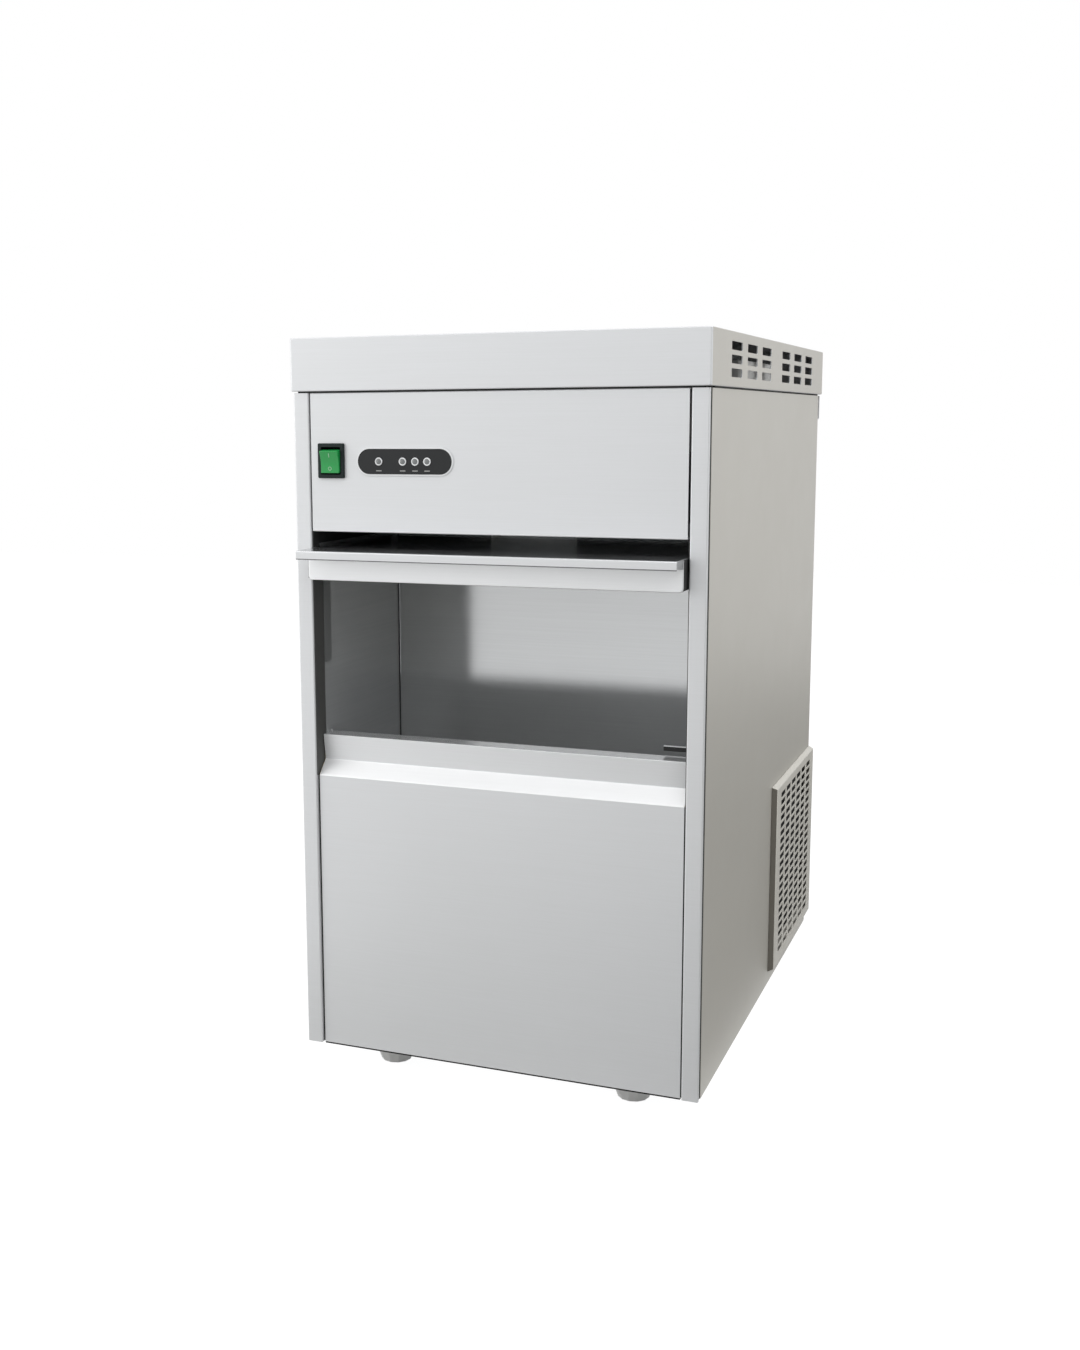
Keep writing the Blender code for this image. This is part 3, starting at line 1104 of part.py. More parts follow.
def make_reservoir(float_pivot):
    """White water tank under the cap, with a spigot below and a float on a pivot pin."""
    half = RESERVOIR_WIDTH / 2
    low = (reservoir_x - half, RESERVOIR_FRONT)
    high = (reservoir_x + half, RESERVOIR_FRONT + RESERVOIR_LENGTH)
    tank = prism("water_reservoir", rounded(low, high, RESERVOIR_CORNER), "Z", reservoir_low,
                 reservoir_top, "white_plastic", smooth=True)
    wall = RESERVOIR_WALL
    inside = rounded((low[0] + wall, low[1] + wall), (high[0] - wall, high[1] - wall),
                     RESERVOIR_CORNER - wall)
    cut(tank, prism(tool_name(tank), inside, "Z", reservoir_low + wall, reservoir_top + OVERRUN))
    x, y, z = spigot_place()
    weld(tank, rod(tool_name(tank), SPIGOT_RADIUS, (x, y, z - SPIGOT_LENGTH), SPIGOT_LENGTH + wall / 2,
                   "Z", sides=FOOT_SIDES))
    bore(tank, SPIGOT_RADIUS / 2, (x, y, z - SPIGOT_LENGTH - OVERRUN),
         SPIGOT_LENGTH + wall + 2 * OVERRUN, "Z", FOOT_SIDES)
    block_x = reservoir_x - PIVOT_BLOCK - ARM_THICKNESS
    weld_block(tank, (block_x, low[1] + wall / 2, float_pivot_z - PIVOT_BLOCK / 2),
               (block_x + PIVOT_BLOCK, float_pivot_y + PIVOT_BLOCK / 2, float_pivot_z + PIVOT_BLOCK / 2))
    weld(tank, rod(tool_name(tank), PIVOT_RADIUS, (block_x + PIVOT_BLOCK / 2, float_pivot_y, float_pivot_z),
                   PIVOT_LENGTH + PIVOT_BLOCK / 2, "X", sides=FOOT_SIDES))
    make_float(float_pivot, block_x + PIVOT_BLOCK)


def make_float(float_pivot, pin_start):
    """Float on its arm; the arm's eye turns on the reservoir's pin."""
    arm_x = pin_start + PIVOT_LENGTH / 2 - ARM_THICKNESS / 2
    profile = ((PIVOT_RADIUS + ARM_CLEARANCE, 0), (ARM_HUB_RADIUS, 0), (ARM_HUB_RADIUS, ARM_THICKNESS),
               (PIVOT_RADIUS + ARM_CLEARANCE, ARM_THICKNESS))
    arm = turned("float_arm", profile, (arm_x, float_pivot_y, float_pivot_z), "X", "black_plastic",
                 FOOT_SIDES, float_pivot)
    end = float_pivot_y + ARM_LENGTH
    root = float_pivot_y + (PIVOT_RADIUS + ARM_HUB_RADIUS) / 2
    weld_block(arm, (arm_x, root, float_pivot_z - ARM_THICKNESS / 2),
               (arm_x + ARM_THICKNESS, end + SHEET, float_pivot_z + ARM_THICKNESS / 2))
    weld_block(arm, (reservoir_x - FLOAT_WIDTH / 2, end, float_pivot_z - FLOAT_HEIGHT / 2),
               (reservoir_x + FLOAT_WIDTH / 2, end + FLOAT_LENGTH, float_pivot_z + FLOAT_HEIGHT / 2))


def make_services():
    """Solenoid valve and mains socket in the rear panel."""
    half_x, half_z = INLET_BODY_WIDTH / 2, INLET_BODY_HEIGHT / 2
    inner = DEPTH - SEAT
    valve = block("inlet_valve", (INLET_X - half_x, inner - INLET_BODY_DEPTH, inlet_z - half_z),
                  (INLET_X + half_x, inner, inlet_z + half_z), "white_plastic")
    weld(valve, rod(tool_name(valve), INLET_NIPPLE_RADIUS, (INLET_X, inner - SHEET, inlet_z),
                    rear_face + INLET_NIPPLE_LENGTH - inner + SHEET, "Y"))
    bore(valve, INLET_BORE, (INLET_X, rear_face, inlet_z), INLET_NIPPLE_LENGTH + OVERRUN, "Y", FOOT_SIDES)
    weld(valve, rod(tool_name(valve), HOSE_RADIUS, (INLET_X, inner - INLET_BODY_DEPTH / 2, inlet_z),
                    half_z + SPIGOT_LENGTH, "Z", sides=FOOT_SIDES))
    make_socket()


def make_socket():
    """Panel-mounted mains socket with three flat pins in its well."""
    half_x, half_z = SOCKET_WIDTH / 2, SOCKET_HEIGHT / 2
    flange_x, flange_z = half_x + SOCKET_FLANGE, half_z + SOCKET_WALL + SHEET
    face = rear_face + SEAT + SOCKET_RISE
    floor = face - SOCKET_DEPTH
    socket = block("power_inlet", (SOCKET_X - flange_x, rear_face + SEAT, SOCKET_Z - flange_z),
                   (SOCKET_X + flange_x, face, SOCKET_Z + flange_z), "black_plastic")
    wall = SOCKET_WALL
    weld_block(socket, (SOCKET_X - half_x - wall, floor - wall, SOCKET_Z - half_z - wall),
               (SOCKET_X + half_x + wall, face - SHEET, SOCKET_Z + half_z + wall))
    cut_block(socket, (SOCKET_X - half_x, floor, SOCKET_Z - half_z),
              (SOCKET_X + half_x, face + OVERRUN, SOCKET_Z + half_z))
    for column, row in ((-1, -1), (0, 1), (1, -1)):
        x = SOCKET_X + column * SOCKET_PIN_PITCH
        z = SOCKET_Z + row * SOCKET_PIN_WIDTH / 2
        weld_block(socket, (x - SOCKET_PIN_THICKNESS / 2, floor - wall / 2, z - SOCKET_PIN_WIDTH / 2),
                   (x + SOCKET_PIN_THICKNESS / 2, face - 2 * SHEET, z + SOCKET_PIN_WIDTH / 2))


def make_control_box():
    low = (CONTROL_BOX_X - CONTROL_BOX_WIDTH / 2, CONTROL_BOX_FRONT, ceiling_z + SHEET + SEAT)
    high = (CONTROL_BOX_X + CONTROL_BOX_WIDTH / 2, CONTROL_BOX_FRONT + CONTROL_BOX_DEPTH,
            ceiling_z + SHEET + SEAT + CONTROL_BOX_HEIGHT)
    box = block("control_box", low, high, "grey_plastic")
    soft = box.modifiers.new("edges", "BEVEL")
    soft.width = BOX_EDGE
    soft.segments = 1


def make_compressor():
    """Welded steel pot on a mounting plate with four rubber grommets."""
    place = (COMPRESSOR_X, COMPRESSOR_Y, compressor_low)
    profile = [(0, 0)]
    profile += [(r * COMPRESSOR_RADIUS, h * COMPRESSOR_HEIGHT) for r, h in COMPRESSOR_DOME_SHARES]
    profile += [(0, COMPRESSOR_HEIGHT)]
    pot = turned("compressor", profile, place, "Z", "black_paint")
    half_x, half_y = MOUNT_PLATE_LENGTH / 2, MOUNT_PLATE_DEPTH / 2
    plate_low = compressor_low - MOUNT_PLATE_THICKNESS
    weld_block(pot, (COMPRESSOR_X - half_x, COMPRESSOR_Y - half_y, plate_low),
               (COMPRESSOR_X + half_x, COMPRESSOR_Y + half_y, compressor_low + SHEET / 2))
    for way_x in (-1, 1):
        for way_y in (-1, 1):
            x = COMPRESSOR_X + way_x * (half_x - GROMMET_INSET)
            y = COMPRESSOR_Y + way_y * (half_y - GROMMET_INSET)
            weld(pot, rod(tool_name(pot), GROMMET_RADIUS, (x, y, pan_floor), GROMMET_HEIGHT + SHEET, "Z",
                          sides=FOOT_SIDES))
    for way in (-1, 1):
        x, y, z = port_place(way)
        inside = COMPRESSOR_RADIUS / 2
        weld(pot, rod(tool_name(pot), PIPE_RADIUS, (x - PORT_LENGTH - inside, y, z), PORT_LENGTH + inside,
                      "X", sides=FOOT_SIDES))


def port_place(way):
    """Tip of the suction port (way 1) or the discharge port (way -1), on the pot's right side."""
    return (COMPRESSOR_X + COMPRESSOR_RADIUS + PORT_LENGTH, COMPRESSOR_Y + way * COMPRESSOR_RADIUS / 3,
            compressor_low + PORT_HEIGHT)


def make_condenser():
    """Finned air-cooled condenser standing behind the right grille."""
    front = condenser_rear - CONDENSER_LENGTH
    pitch = CONDENSER_LENGTH / FIN_COUNT
    inner, outer = CONDENSER_INNER, CONDENSER_INNER + CONDENSER_THICKNESS
    outline = []
    for side, deep, numbers in ((inner, FIN_DEPTH, range(FIN_COUNT)),
                                (outer, -FIN_DEPTH, reversed(range(FIN_COUNT)))):
        for number in numbers:
            start = front + number * pitch
            steps = ((side, 0), (side, FIN_SHARE), (side + deep, FIN_SHARE), (side + deep, 1))
            if number == FIN_COUNT - 1:
                steps = ((side, 0), (side, 1))
            if deep < 0:
                steps = steps[::-1]
            outline += [(x, start + share * pitch) for x, share in steps]
    prism("condenser", outline, "Z", pan_floor, condenser_top, "aluminium")


def make_fan(fan_pivot):
    """Shroud with its ring, the fan in it, and the motor on a foot."""
    front = condenser_rear - CONDENSER_LENGTH
    shroud = block("fan_shroud", (shroud_x, front, pan_floor),
                   (shroud_x + SHROUD_THICKNESS, condenser_rear, condenser_top), "galvanised")
    opening = FAN_RADIUS + FAN_TIP_CLEARANCE
    ring_start = shroud_x - SHROUD_RING
    weld(shroud, rod(tool_name(shroud), opening + SHROUD_THICKNESS, (ring_start, condenser_y, fan_z),
                     SHROUD_RING + SHROUD_THICKNESS / 2, "X"))
    bore(shroud, opening, (ring_start - OVERRUN, condenser_y, fan_z),
         SHROUD_RING + SHROUD_THICKNESS + 2 * OVERRUN, "X")

    place = (fan_x, condenser_y, fan_z)
    hole = FAN_SHAFT_RADIUS + SEAT
    fan = turned("fan_blade", cup_profile(hole), place, "X", "black_plastic", parent=fan_pivot)
    for number in range(FAN_BLADES):
        blade = fan_blade(tool_name(fan), 2 * pi * number / FAN_BLADES, fan_pivot)
        weld(fan, blade)

    motor_end = fan_x - FAN_STANDOFF
    motor_start = motor_end - FAN_MOTOR_LENGTH
    motor = rod("fan_motor", FAN_MOTOR_RADIUS, (motor_start, condenser_y, fan_z), FAN_MOTOR_LENGTH, "X",
                "black_paint", parent=cabinet)
    weld(motor, rod(tool_name(motor), FAN_SHAFT_RADIUS, (motor_end - SHEET, condenser_y, fan_z),
                    FAN_SHAFT_LENGTH + SHEET, "X", sides=FOOT_SIDES))
    plate = 2 * SHEET
    end, top = motor_start + SHEET / 2, fan_z + FAN_MOTOR_RADIUS / 2
    foot = ((end - FAN_FOOT_LENGTH, pan_floor), (end, pan_floor), (end, top), (end - plate, top),
            (end - plate, pan_floor + plate), (end - FAN_FOOT_LENGTH, pan_floor + plate))
    half_y = FAN_FOOT_WIDTH / 2
    weld(motor, prism(tool_name(motor), foot, "Y", condenser_y - half_y, condenser_y + half_y))


def cup_profile(hole):
    """Fan hub with a blind bore for the motor shaft."""
    depth = FAN_SHAFT_LENGTH - FAN_STANDOFF + SHEET
    return ((hole, 0), (FAN_HUB_RADIUS, 0), (FAN_HUB_RADIUS, FAN_HUB_LENGTH), (SEAT, FAN_HUB_LENGTH),
            (SEAT, depth), (hole, depth))


def fan_blade(name, turn, fan_pivot):
    """One pitched blade, from inside the hub to the fan's tip circle."""
    shell = bmesh.new()
    made = bmesh.ops.create_cube(shell, size=1)["verts"]
    length = FAN_RADIUS - FAN_HUB_RADIUS
    bmesh.ops.scale(shell, vec=(FAN_BLADE_THICKNESS, FAN_BLADE_CHORD, length), verts=made)
    taper = FAN_HUB_RADIUS / FAN_BLADE_CHORD
    for point in made:
        if point.co.z < 0:
            point.co.y *= taper
        swing = FAN_BLADE_PITCH
        x, y = point.co.x, point.co.y
        point.co.x = x * cos(swing) + y * sin(swing) + FAN_HUB_LENGTH / 2
        point.co.y = y * cos(swing) - x * sin(swing)
        reach = point.co.z + FAN_HUB_RADIUS - SHEET + length / 2
        if point.co.z > 0:
            reach = (FAN_RADIUS ** 2 - point.co.y ** 2) ** 0.5
        point.co.z = reach
        y, z = point.co.y, point.co.z
        point.co.y = y * cos(turn) - z * sin(turn)
        point.co.z = y * sin(turn) + z * cos(turn)
    return settle(name, shell, (fan_x, condenser_y, fan_z), None, fan_pivot)


def make_pipework():
    """Copper lines of the refrigeration circuit, and the water hoses."""
    bend = 4 * PIPE_RADIUS
    lift = 8 * PIPE_RADIUS
    jacket_side = CHUTE_X + JACKET_RADIUS + SEAT
    header_x = CONDENSER_INNER + CONDENSER_THICKNESS / 2
    header_y = condenser_y - CONDENSER_LENGTH / 4
    x, y, z = port_place(-1)
    over = condenser_top + 2 * bend
    hose("discharge_line",
         ((x + SEAT, y, z), (x + bend, y, z), (x + 2 * bend, y, z + lift),
          (x + 2 * lift, header_y, over + bend), (header_x - lift, header_y, over + bend),
          (header_x, header_y, over), (header_x, header_y, condenser_top + SEAT)),
         PIPE_RADIUS, "copper")
    x, y, z = port_place(1)
    low = barrel_floor + bend
    hose("suction_line",
         ((x + SEAT, y, z), (x + bend, y, z), (x + 2 * bend, y, z + lift),
          (x + 2 * bend, y, low - lift), (jacket_side + lift, evaporator_y + 2 * lift, low - bend / 2),
          (jacket_side + lift, evaporator_y + bend, low), (jacket_side + bend, evaporator_y, low),
          (jacket_side, evaporator_y, low)), PIPE_RADIUS, "copper")
    make_liquid_line(header_x, jacket_side, bend, lift)
    make_hoses(lift)


def make_liquid_line(header_x, jacket_side, bend, lift):
    """Liquid line from the condenser to the jacket, with the filter drier sleeved on it."""
    y = condenser_y + CONDENSER_LENGTH / 4
    drier_low = condenser_top + lift
    drier_top = drier_low + DRIER_LENGTH
    high = barrel_top - 2 * lift
    route = ((header_x, y, condenser_top + SEAT), (header_x, y, drier_low), (header_x, y, drier_top),
             (header_x, y, drier_top + bend), (header_x - bend, y - lift, high - bend),
             (jacket_side + 3 * lift, evaporator_y + lift, high),
             (jacket_side + lift, evaporator_y, high), (jacket_side, evaporator_y, high))
    hose("liquid_line", route, PIPE_RADIUS, "copper")
    neck = PIPE_RADIUS + SEAT
    profile = ((neck, 0), (DRIER_RADIUS, DRIER_RADIUS), (DRIER_RADIUS, DRIER_LENGTH - DRIER_RADIUS),
               (neck, DRIER_LENGTH))
    turned("filter_drier", profile, (header_x, y, drier_low), "Z", "copper", FOOT_SIDES)


def make_hoses(lift):
    """Fill tube, barrel supply tube and bin drain hose."""
    valve_top = inlet_z + INLET_BODY_HEIGHT / 2 + SPIGOT_LENGTH
    valve_y = DEPTH - SEAT - INLET_BODY_DEPTH / 2
    over = reservoir_top + 2 * HOSE_RADIUS
    rear_wall = RESERVOIR_FRONT + RESERVOIR_LENGTH
    hose("fill_tube",
         ((INLET_X, valve_y, valve_top + SEAT), (INLET_X, valve_y, valve_top + lift),
          (INLET_X, (valve_y + rear_wall) / 2, over - HOSE_RADIUS), (INLET_X, rear_wall + lift / 2, over),
          (INLET_X, rear_wall - RESERVOIR_WALL, over),
          (INLET_X, rear_wall - lift / 2, over - HOSE_RADIUS)), FILL_TUBE_RADIUS, "clear_hose")

    x, y, z = spigot_place()
    start = z - SPIGOT_LENGTH - SEAT
    low = barrel_floor + 2 * lift
    side_y = evaporator_y + JACKET_RADIUS + SEAT
    hose("supply_tube",
         ((x, y, start), (x, y, start - lift), (x - lift / 2, side_y + lift, (start + low) / 2),
          ((x + CHUTE_X) / 2, side_y + 2 * lift, low + lift), (CHUTE_X + lift, side_y + 2 * lift, low),
          (CHUTE_X, side_y + lift, low), (CHUTE_X, side_y, low)), HOSE_RADIUS, "clear_hose")

    x, y = drain_place()
    spout = BIN_FLOOR - DRAIN_SPOUT - SEAT
    bend = drain_bend_z()
    turn = 2 * DRAIN_HOSE_RADIUS
    outlet_x, outlet_z = DRAIN_OUTLET_X, DRAIN_OUTLET_Z
    hose("drain_hose",
         ((x, y, spout), (x, y, spout - turn + HOSE_RADIUS), (x, y + DRAIN_HOSE_RADIUS, bend + HOSE_RADIUS),
          (x, y + turn + HOSE_RADIUS, bend), (x, divider_y, bend), (x, divider_rear + lift, bend),
          (outlet_x, divider_rear + 4 * lift, bend), (outlet_x, DEPTH - 3 * lift, bend + HOSE_RADIUS),
          (outlet_x, DEPTH - lift, outlet_z), (outlet_x, DEPTH - SHEET - SEAT, outlet_z),
          (outlet_x, rear_face + DRAIN_TAIL, outlet_z)), DRAIN_HOSE_RADIUS, "clear_hose")


clear_scene()
cabinet = carrier("cabinet", (0, 0, 0))
cabinet.location = (0, FRONT_Y, FOOT_HEIGHT)
switch_place = (SWITCH_X, rocker_y(), control_bottom + SWITCH_Z)
door_place = (0, pin_y, pin_z)
make_base(list(make_feet()))
make_pillars()
make_side_panels()
make_grilles()
make_cap()
make_rear_panel()
make_control_panel()
make_switch(carrier("switch_pivot", switch_place, cabinet))
make_display()
make_lower_panel()
make_liner()
make_probe()
make_insulation()
make_inner_frame()
make_door(carrier("door_pivot", door_place, cabinet), carrier("axle_carrier", door_place, cabinet))
make_guides()
make_chute(carrier("flap_pivot", flap_pivot_place(), cabinet))
make_gear_motor()
make_evaporator(carrier("auger_pivot", (CHUTE_X, evaporator_y, barrel_low), cabinet))
make_reservoir(carrier("float_pivot", (reservoir_x, float_pivot_y, float_pivot_z), cabinet))
make_services()
make_control_box()
make_compressor()
make_condenser()
make_fan(carrier("fan_pivot", (fan_x, condenser_y, fan_z), cabinet))
make_pipework()
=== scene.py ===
from math import cos, pi, radians, sin

import bmesh
import bpy
from mathutils import Matrix, Vector


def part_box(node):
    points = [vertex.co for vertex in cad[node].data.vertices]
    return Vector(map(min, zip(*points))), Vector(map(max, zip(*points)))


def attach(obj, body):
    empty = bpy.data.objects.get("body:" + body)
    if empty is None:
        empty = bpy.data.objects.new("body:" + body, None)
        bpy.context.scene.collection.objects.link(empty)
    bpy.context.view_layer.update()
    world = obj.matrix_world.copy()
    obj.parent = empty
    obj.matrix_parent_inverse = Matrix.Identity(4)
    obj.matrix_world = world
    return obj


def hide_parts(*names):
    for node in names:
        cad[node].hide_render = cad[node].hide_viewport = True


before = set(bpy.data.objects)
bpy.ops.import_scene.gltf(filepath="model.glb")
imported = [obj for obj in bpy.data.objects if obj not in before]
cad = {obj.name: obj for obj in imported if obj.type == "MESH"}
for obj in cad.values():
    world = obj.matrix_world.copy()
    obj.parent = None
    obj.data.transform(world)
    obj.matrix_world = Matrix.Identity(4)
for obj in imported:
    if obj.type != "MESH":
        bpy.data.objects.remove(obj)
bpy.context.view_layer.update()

# Camera: the machine was photographed from its right and a little above the bin, by a camera
# held nearly level. Its place was solved from the cabinet's edges.
eye = Vector((0.4784, -1.4923, 0.6106))
yaw, pitch, roll = radians(-22.06), radians(-8.75), radians(-0.37)
ahead = Vector((sin(yaw) * cos(pitch), cos(yaw) * cos(pitch), sin(pitch)))
level = Vector((cos(yaw), -sin(yaw), 0))
upward = level.cross(ahead)
rightward = level * cos(roll) + upward * sin(roll)
skyward = upward * cos(roll) - level * sin(roll)
lens = bpy.data.cameras.new("camera")
lens.sensor_width = 36
lens.lens = 40.81
lens.shift_x, lens.shift_y = 0.0530, -0.0134
camera = bpy.data.objects.new("camera", lens)
camera.matrix_world = Matrix.Translation(eye) @ Matrix((rightward, skyward, -ahead)).transposed().to_4x4()
bpy.context.scene.collection.objects.link(camera)
bpy.context.scene.camera = camera


# Floor: a wide pale studio floor that keeps the machine's soft shadow. It runs to white for the
# camera and in reflections, so that it meets the white background without an edge.
def add_node(tree, kind, values=None, **settings):
    made = tree.nodes.new(kind)
    for key, value in settings.items():
        setattr(made, key, value)
    for socket, value in (values or {}).items():
        if isinstance(value, bpy.types.NodeSocket):
            tree.links.new(value, made.inputs[socket])
        else:
            made.inputs[socket].default_value = value
    return made


def clear_selection():
    if bpy.context.object and bpy.context.object.mode != "OBJECT":
        bpy.ops.object.mode_set(mode="OBJECT")
    bpy.ops.object.select_all(action="DESELECT")


def rays_that_see(tree):
    """One for camera, glossy and transmission rays, and nought for all others."""
    ray = add_node(tree, "ShaderNodeLightPath").outputs
    seen = add_node(tree, "ShaderNodeMath", {0: ray["Is Camera Ray"], 1: ray["Is Glossy Ray"]},
                    operation="ADD")
    return add_node(tree, "ShaderNodeMath", {0: seen.outputs[0], 1: ray["Is Transmission Ray"]},
                    operation="ADD", use_clamp=True).outputs[0]


clear_selection()
bpy.ops.mesh.primitive_plane_add(size=9)
floor = bpy.context.object
floor.name = "studio_floor"
floor_paint = bpy.data.materials.new("studio floor")
floor_paint.use_nodes = True
tree = floor_paint.node_tree
tree.nodes.clear()
matt = add_node(tree, "ShaderNodeBsdfDiffuse", {"Color": (0.43, 0.42, 0.40, 1)})
shadow_matt = add_node(tree, "ShaderNodeBsdfDiffuse", {"Color": (0.24, 0.24, 0.24, 1)})
glow = add_node(tree, "ShaderNodeEmission", {"Color": (1, 1, 1, 1), "Strength": 0.93})
pale = add_node(tree, "ShaderNodeAddShader", {0: shadow_matt.outputs[0], 1: glow.outputs[0]})
blend = add_node(tree, "ShaderNodeMixShader", {0: rays_that_see(tree), 1: matt.outputs[0],
                                               2: pale.outputs[0]})
add_node(tree, "ShaderNodeOutputMaterial", {"Surface": blend.outputs[0]})
floor.data.materials.append(floor_paint)

# Cards: grey studio cards lie on the floor on the right and before the machine, and one stands
# in front on the right. They show only in what the steel reflects, as a darker room would.
# Each has a place, a size, a tilt and the tones of its left and right ends.
for name, place, size, tilt, tones in (
        ("front_card", (1.35, -2.3, 0.6), (2.2, 1.2), pi / 2, (0.14, 0.14)),
        ("camera_floor_card", (0.62, -1.55, 0.004), (0.75, 1.5), 0, (0.14, 0.14)),
        ("side_floor_card", (1.05, -0.1, 0.003), (1.65, 4.4), 0, (0.19, 0.19)),
        ("front_floor_card", (-0.03, -0.68, 0.003), (0.59, 0.8), 0, (0.60, 0.10))):
    card_paint = bpy.data.materials.new(name)
    card_paint.use_nodes = True
    tree = card_paint.node_tree
    tree.nodes["Principled BSDF"].inputs["Roughness"].default_value = 0.9
    spot = add_node(tree, "ShaderNodeTexCoord").outputs["Generated"]
    along_card = add_node(tree, "ShaderNodeSeparateXYZ", {0: spot}).outputs[0]
    left_grey, right_grey = [(tone, tone, tone * 0.95, 1) for tone in tones]
    grey = add_node(tree, "ShaderNodeMix", {0: along_card, 6: left_grey, 7: right_grey}, data_type="RGBA")
    tree.links.new(grey.outputs[2], tree.nodes["Principled BSDF"].inputs["Base Color"])
    clear_selection()
    bpy.ops.mesh.primitive_plane_add(size=1, rotation=(tilt, 0, 0), location=place)
    card = bpy.context.object
    card.name = name
    card.scale = (*size, 1)
    card.data.materials.append(card_paint)
    card.visible_camera = card.visible_shadow = card.visible_diffuse = False

# Light: a plain pale room with three broad soft lamps, one in front on the left, one high in front
# on the right and a low one from the left, and a small lamp over the right side.
room = bpy.data.worlds.new("pale room")
room.use_nodes = True
bpy.context.scene.world = room
tree = room.node_tree
tree.nodes.clear()
room_light = add_node(tree, "ShaderNodeBackground", {"Color": (0.97, 0.985, 1.0, 1), "Strength": 0.49})
white = add_node(tree, "ShaderNodeBackground", {"Color": (1, 1, 1, 1), "Strength": 1.0})
blend = add_node(tree, "ShaderNodeMixShader", {0: rays_that_see(tree), 1: room_light.outputs[0],
                                               2: white.outputs[0]})
add_node(tree, "ShaderNodeOutputWorld", {"Surface": blend.outputs[0]})
for title, place, target, size, power in (
        ("front_lamp", (-1.65, -1.15, 1.5), (0, -0.2, 0.45), 2.0, 17),
        ("top_lamp", (0.6, -1.3, 2.2), (0, 0, 0.6), 2.2, 21),
        ("low_lamp", (-2.4, -1.5, 0.4), (0, -0.26, 0.35), 1.6, 16),
        ("side_lamp", (1.5, -0.1, 1.7), (0.19, 0, 0.55), 0.8, 9)):
    lamp_data = bpy.data.lights.new(title, "AREA")
    lamp_data.size = size
    lamp_data.energy = power
    lamp = bpy.data.objects.new(title, lamp_data)
    lamp.location = place
    lamp.rotation_euler = (Vector(target) - Vector(place)).to_track_quat("-Z", "Y").to_euler()
    bpy.context.scene.collection.objects.link(lamp)
bpy.context.scene.view_settings.view_transform = "Standard"


# Cap: one sheet of satin stainless steel folded down on four sides, with rounded corners and its
# lower edge turned in. Three rows of air slots are punched in its left and right walls, and it rests
# on the side skins' ledges.
def slab(name, low, high):
    """Block between two corners, left with its place in its mesh."""
    clear_selection()
    low, high = Vector(low), Vector(high)
    bpy.ops.mesh.primitive_cube_add(size=1, location=(low + high) / 2)
    piece = bpy.context.object
    piece.scale = high - low
    bpy.ops.object.transform_apply()
    piece.name = piece.data.name = name
    return piece


def select_only(piece):
    clear_selection()
    piece.select_set(True)
    bpy.context.view_layer.objects.active = piece


def pick(piece, kind, test):
    """Open the piece for editing with the faces or edges that pass the test selected."""
    select_only(piece)
    bpy.ops.object.mode_set(mode="EDIT")
    bpy.ops.mesh.select_mode(type="FACE" if kind == "faces" else "EDGE")
    bpy.ops.mesh.select_all(action="DESELECT")
    shape = bmesh.from_edit_mesh(piece.data)
    for item in getattr(shape, kind):
        if test(item):
            item.select_set(True)
    shape.select_flush_mode()
    bmesh.update_edit_mesh(piece.data)


def runs_along(edge, axis):
    run = (edge.verts[1].co - edge.verts[0].co).normalized()
    return abs(run[axis]) > 0.999


def is_fold(edge):
    return len(edge.link_faces) == 2 and edge.calc_face_angle() > 1


def round_edges(piece, test, radius, segments):
    pick(piece, "edges", test)
    bpy.ops.mesh.bevel(offset=radius, segments=segments, affect="EDGES", clamp_overlap=True)
    bpy.ops.object.mode_set(mode="OBJECT")


def apply_step(piece, kind, **settings):
    """Add one modifier to the piece and apply it."""
    select_only(piece)
    step = piece.modifiers.new(kind.lower(), kind)
    for key, value in settings.items():
        setattr(step, key, value)
    bpy.ops.object.modifier_apply(modifier=step.name)


def give_wall(piece, thickness, inside=True):
    apply_step(piece, "SOLIDIFY", thickness=thickness, offset=-1 if inside else 1, use_even_offset=True)


def soften(piece, width=0.00015, segments=1, angle=50):
    """Break the sharp edges of a piece and smooth its gentle ones."""
    apply_step(piece, "BEVEL", width=width, segments=segments, limit_method="ANGLE",
               angle_limit=radians(angle), harden_normals=False)
    smooth(piece)


def smooth(piece, angle=35):
    """Smooth the gentle edges and keep the flats flat up to their rounded edges."""
    select_only(piece)
    bpy.ops.object.shade_smooth_by_angle(angle=radians(angle))
    apply_step(piece, "WEIGHTED_NORMAL", keep_sharp=True)


def punch(piece, cutter, operation="DIFFERENCE"):
    """Cut the cutter out of the piece, or weld it on, and throw the cutter away."""
    apply_step(piece, "BOOLEAN", object=cutter, operation=operation, solver="EXACT")
    bpy.data.objects.remove(cutter)


def copies(piece, offsets):
    """Join one copy of the piece for each offset, and drop the first."""
    made = []
    for offset in offsets:
        copy = piece.copy()
        copy.data = piece.data.copy()
        copy.data.transform(Matrix.Translation(offset))
        bpy.context.scene.collection.objects.link(copy)
        made.append(copy)
    name = piece.name
    bpy.data.objects.remove(piece)
    clear_selection()
    for copy in made:
        copy.select_set(True)
    bpy.context.view_layer.objects.active = made[0]
    bpy.ops.object.join()
    made[0].name = name
    return made[0]


def fit(piece, body, slot, paint, *stands_for):
    """Give a finished piece its material and tie it to the body that carries it."""
    piece.data.materials.clear()
    piece.data.materials.append(paint)
    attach(piece, body)
    if stands_for:
        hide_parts(*stands_for)


def paint_faces(piece, paint, test):
    """Give the faces that pass the test a finish of their own."""
    piece.data.materials.append(paint)
    pick(piece, "faces", test)
    piece.active_material_index = len(piece.data.materials) - 1
    bpy.ops.object.material_slot_assign()
    bpy.ops.object.mode_set(mode="OBJECT")


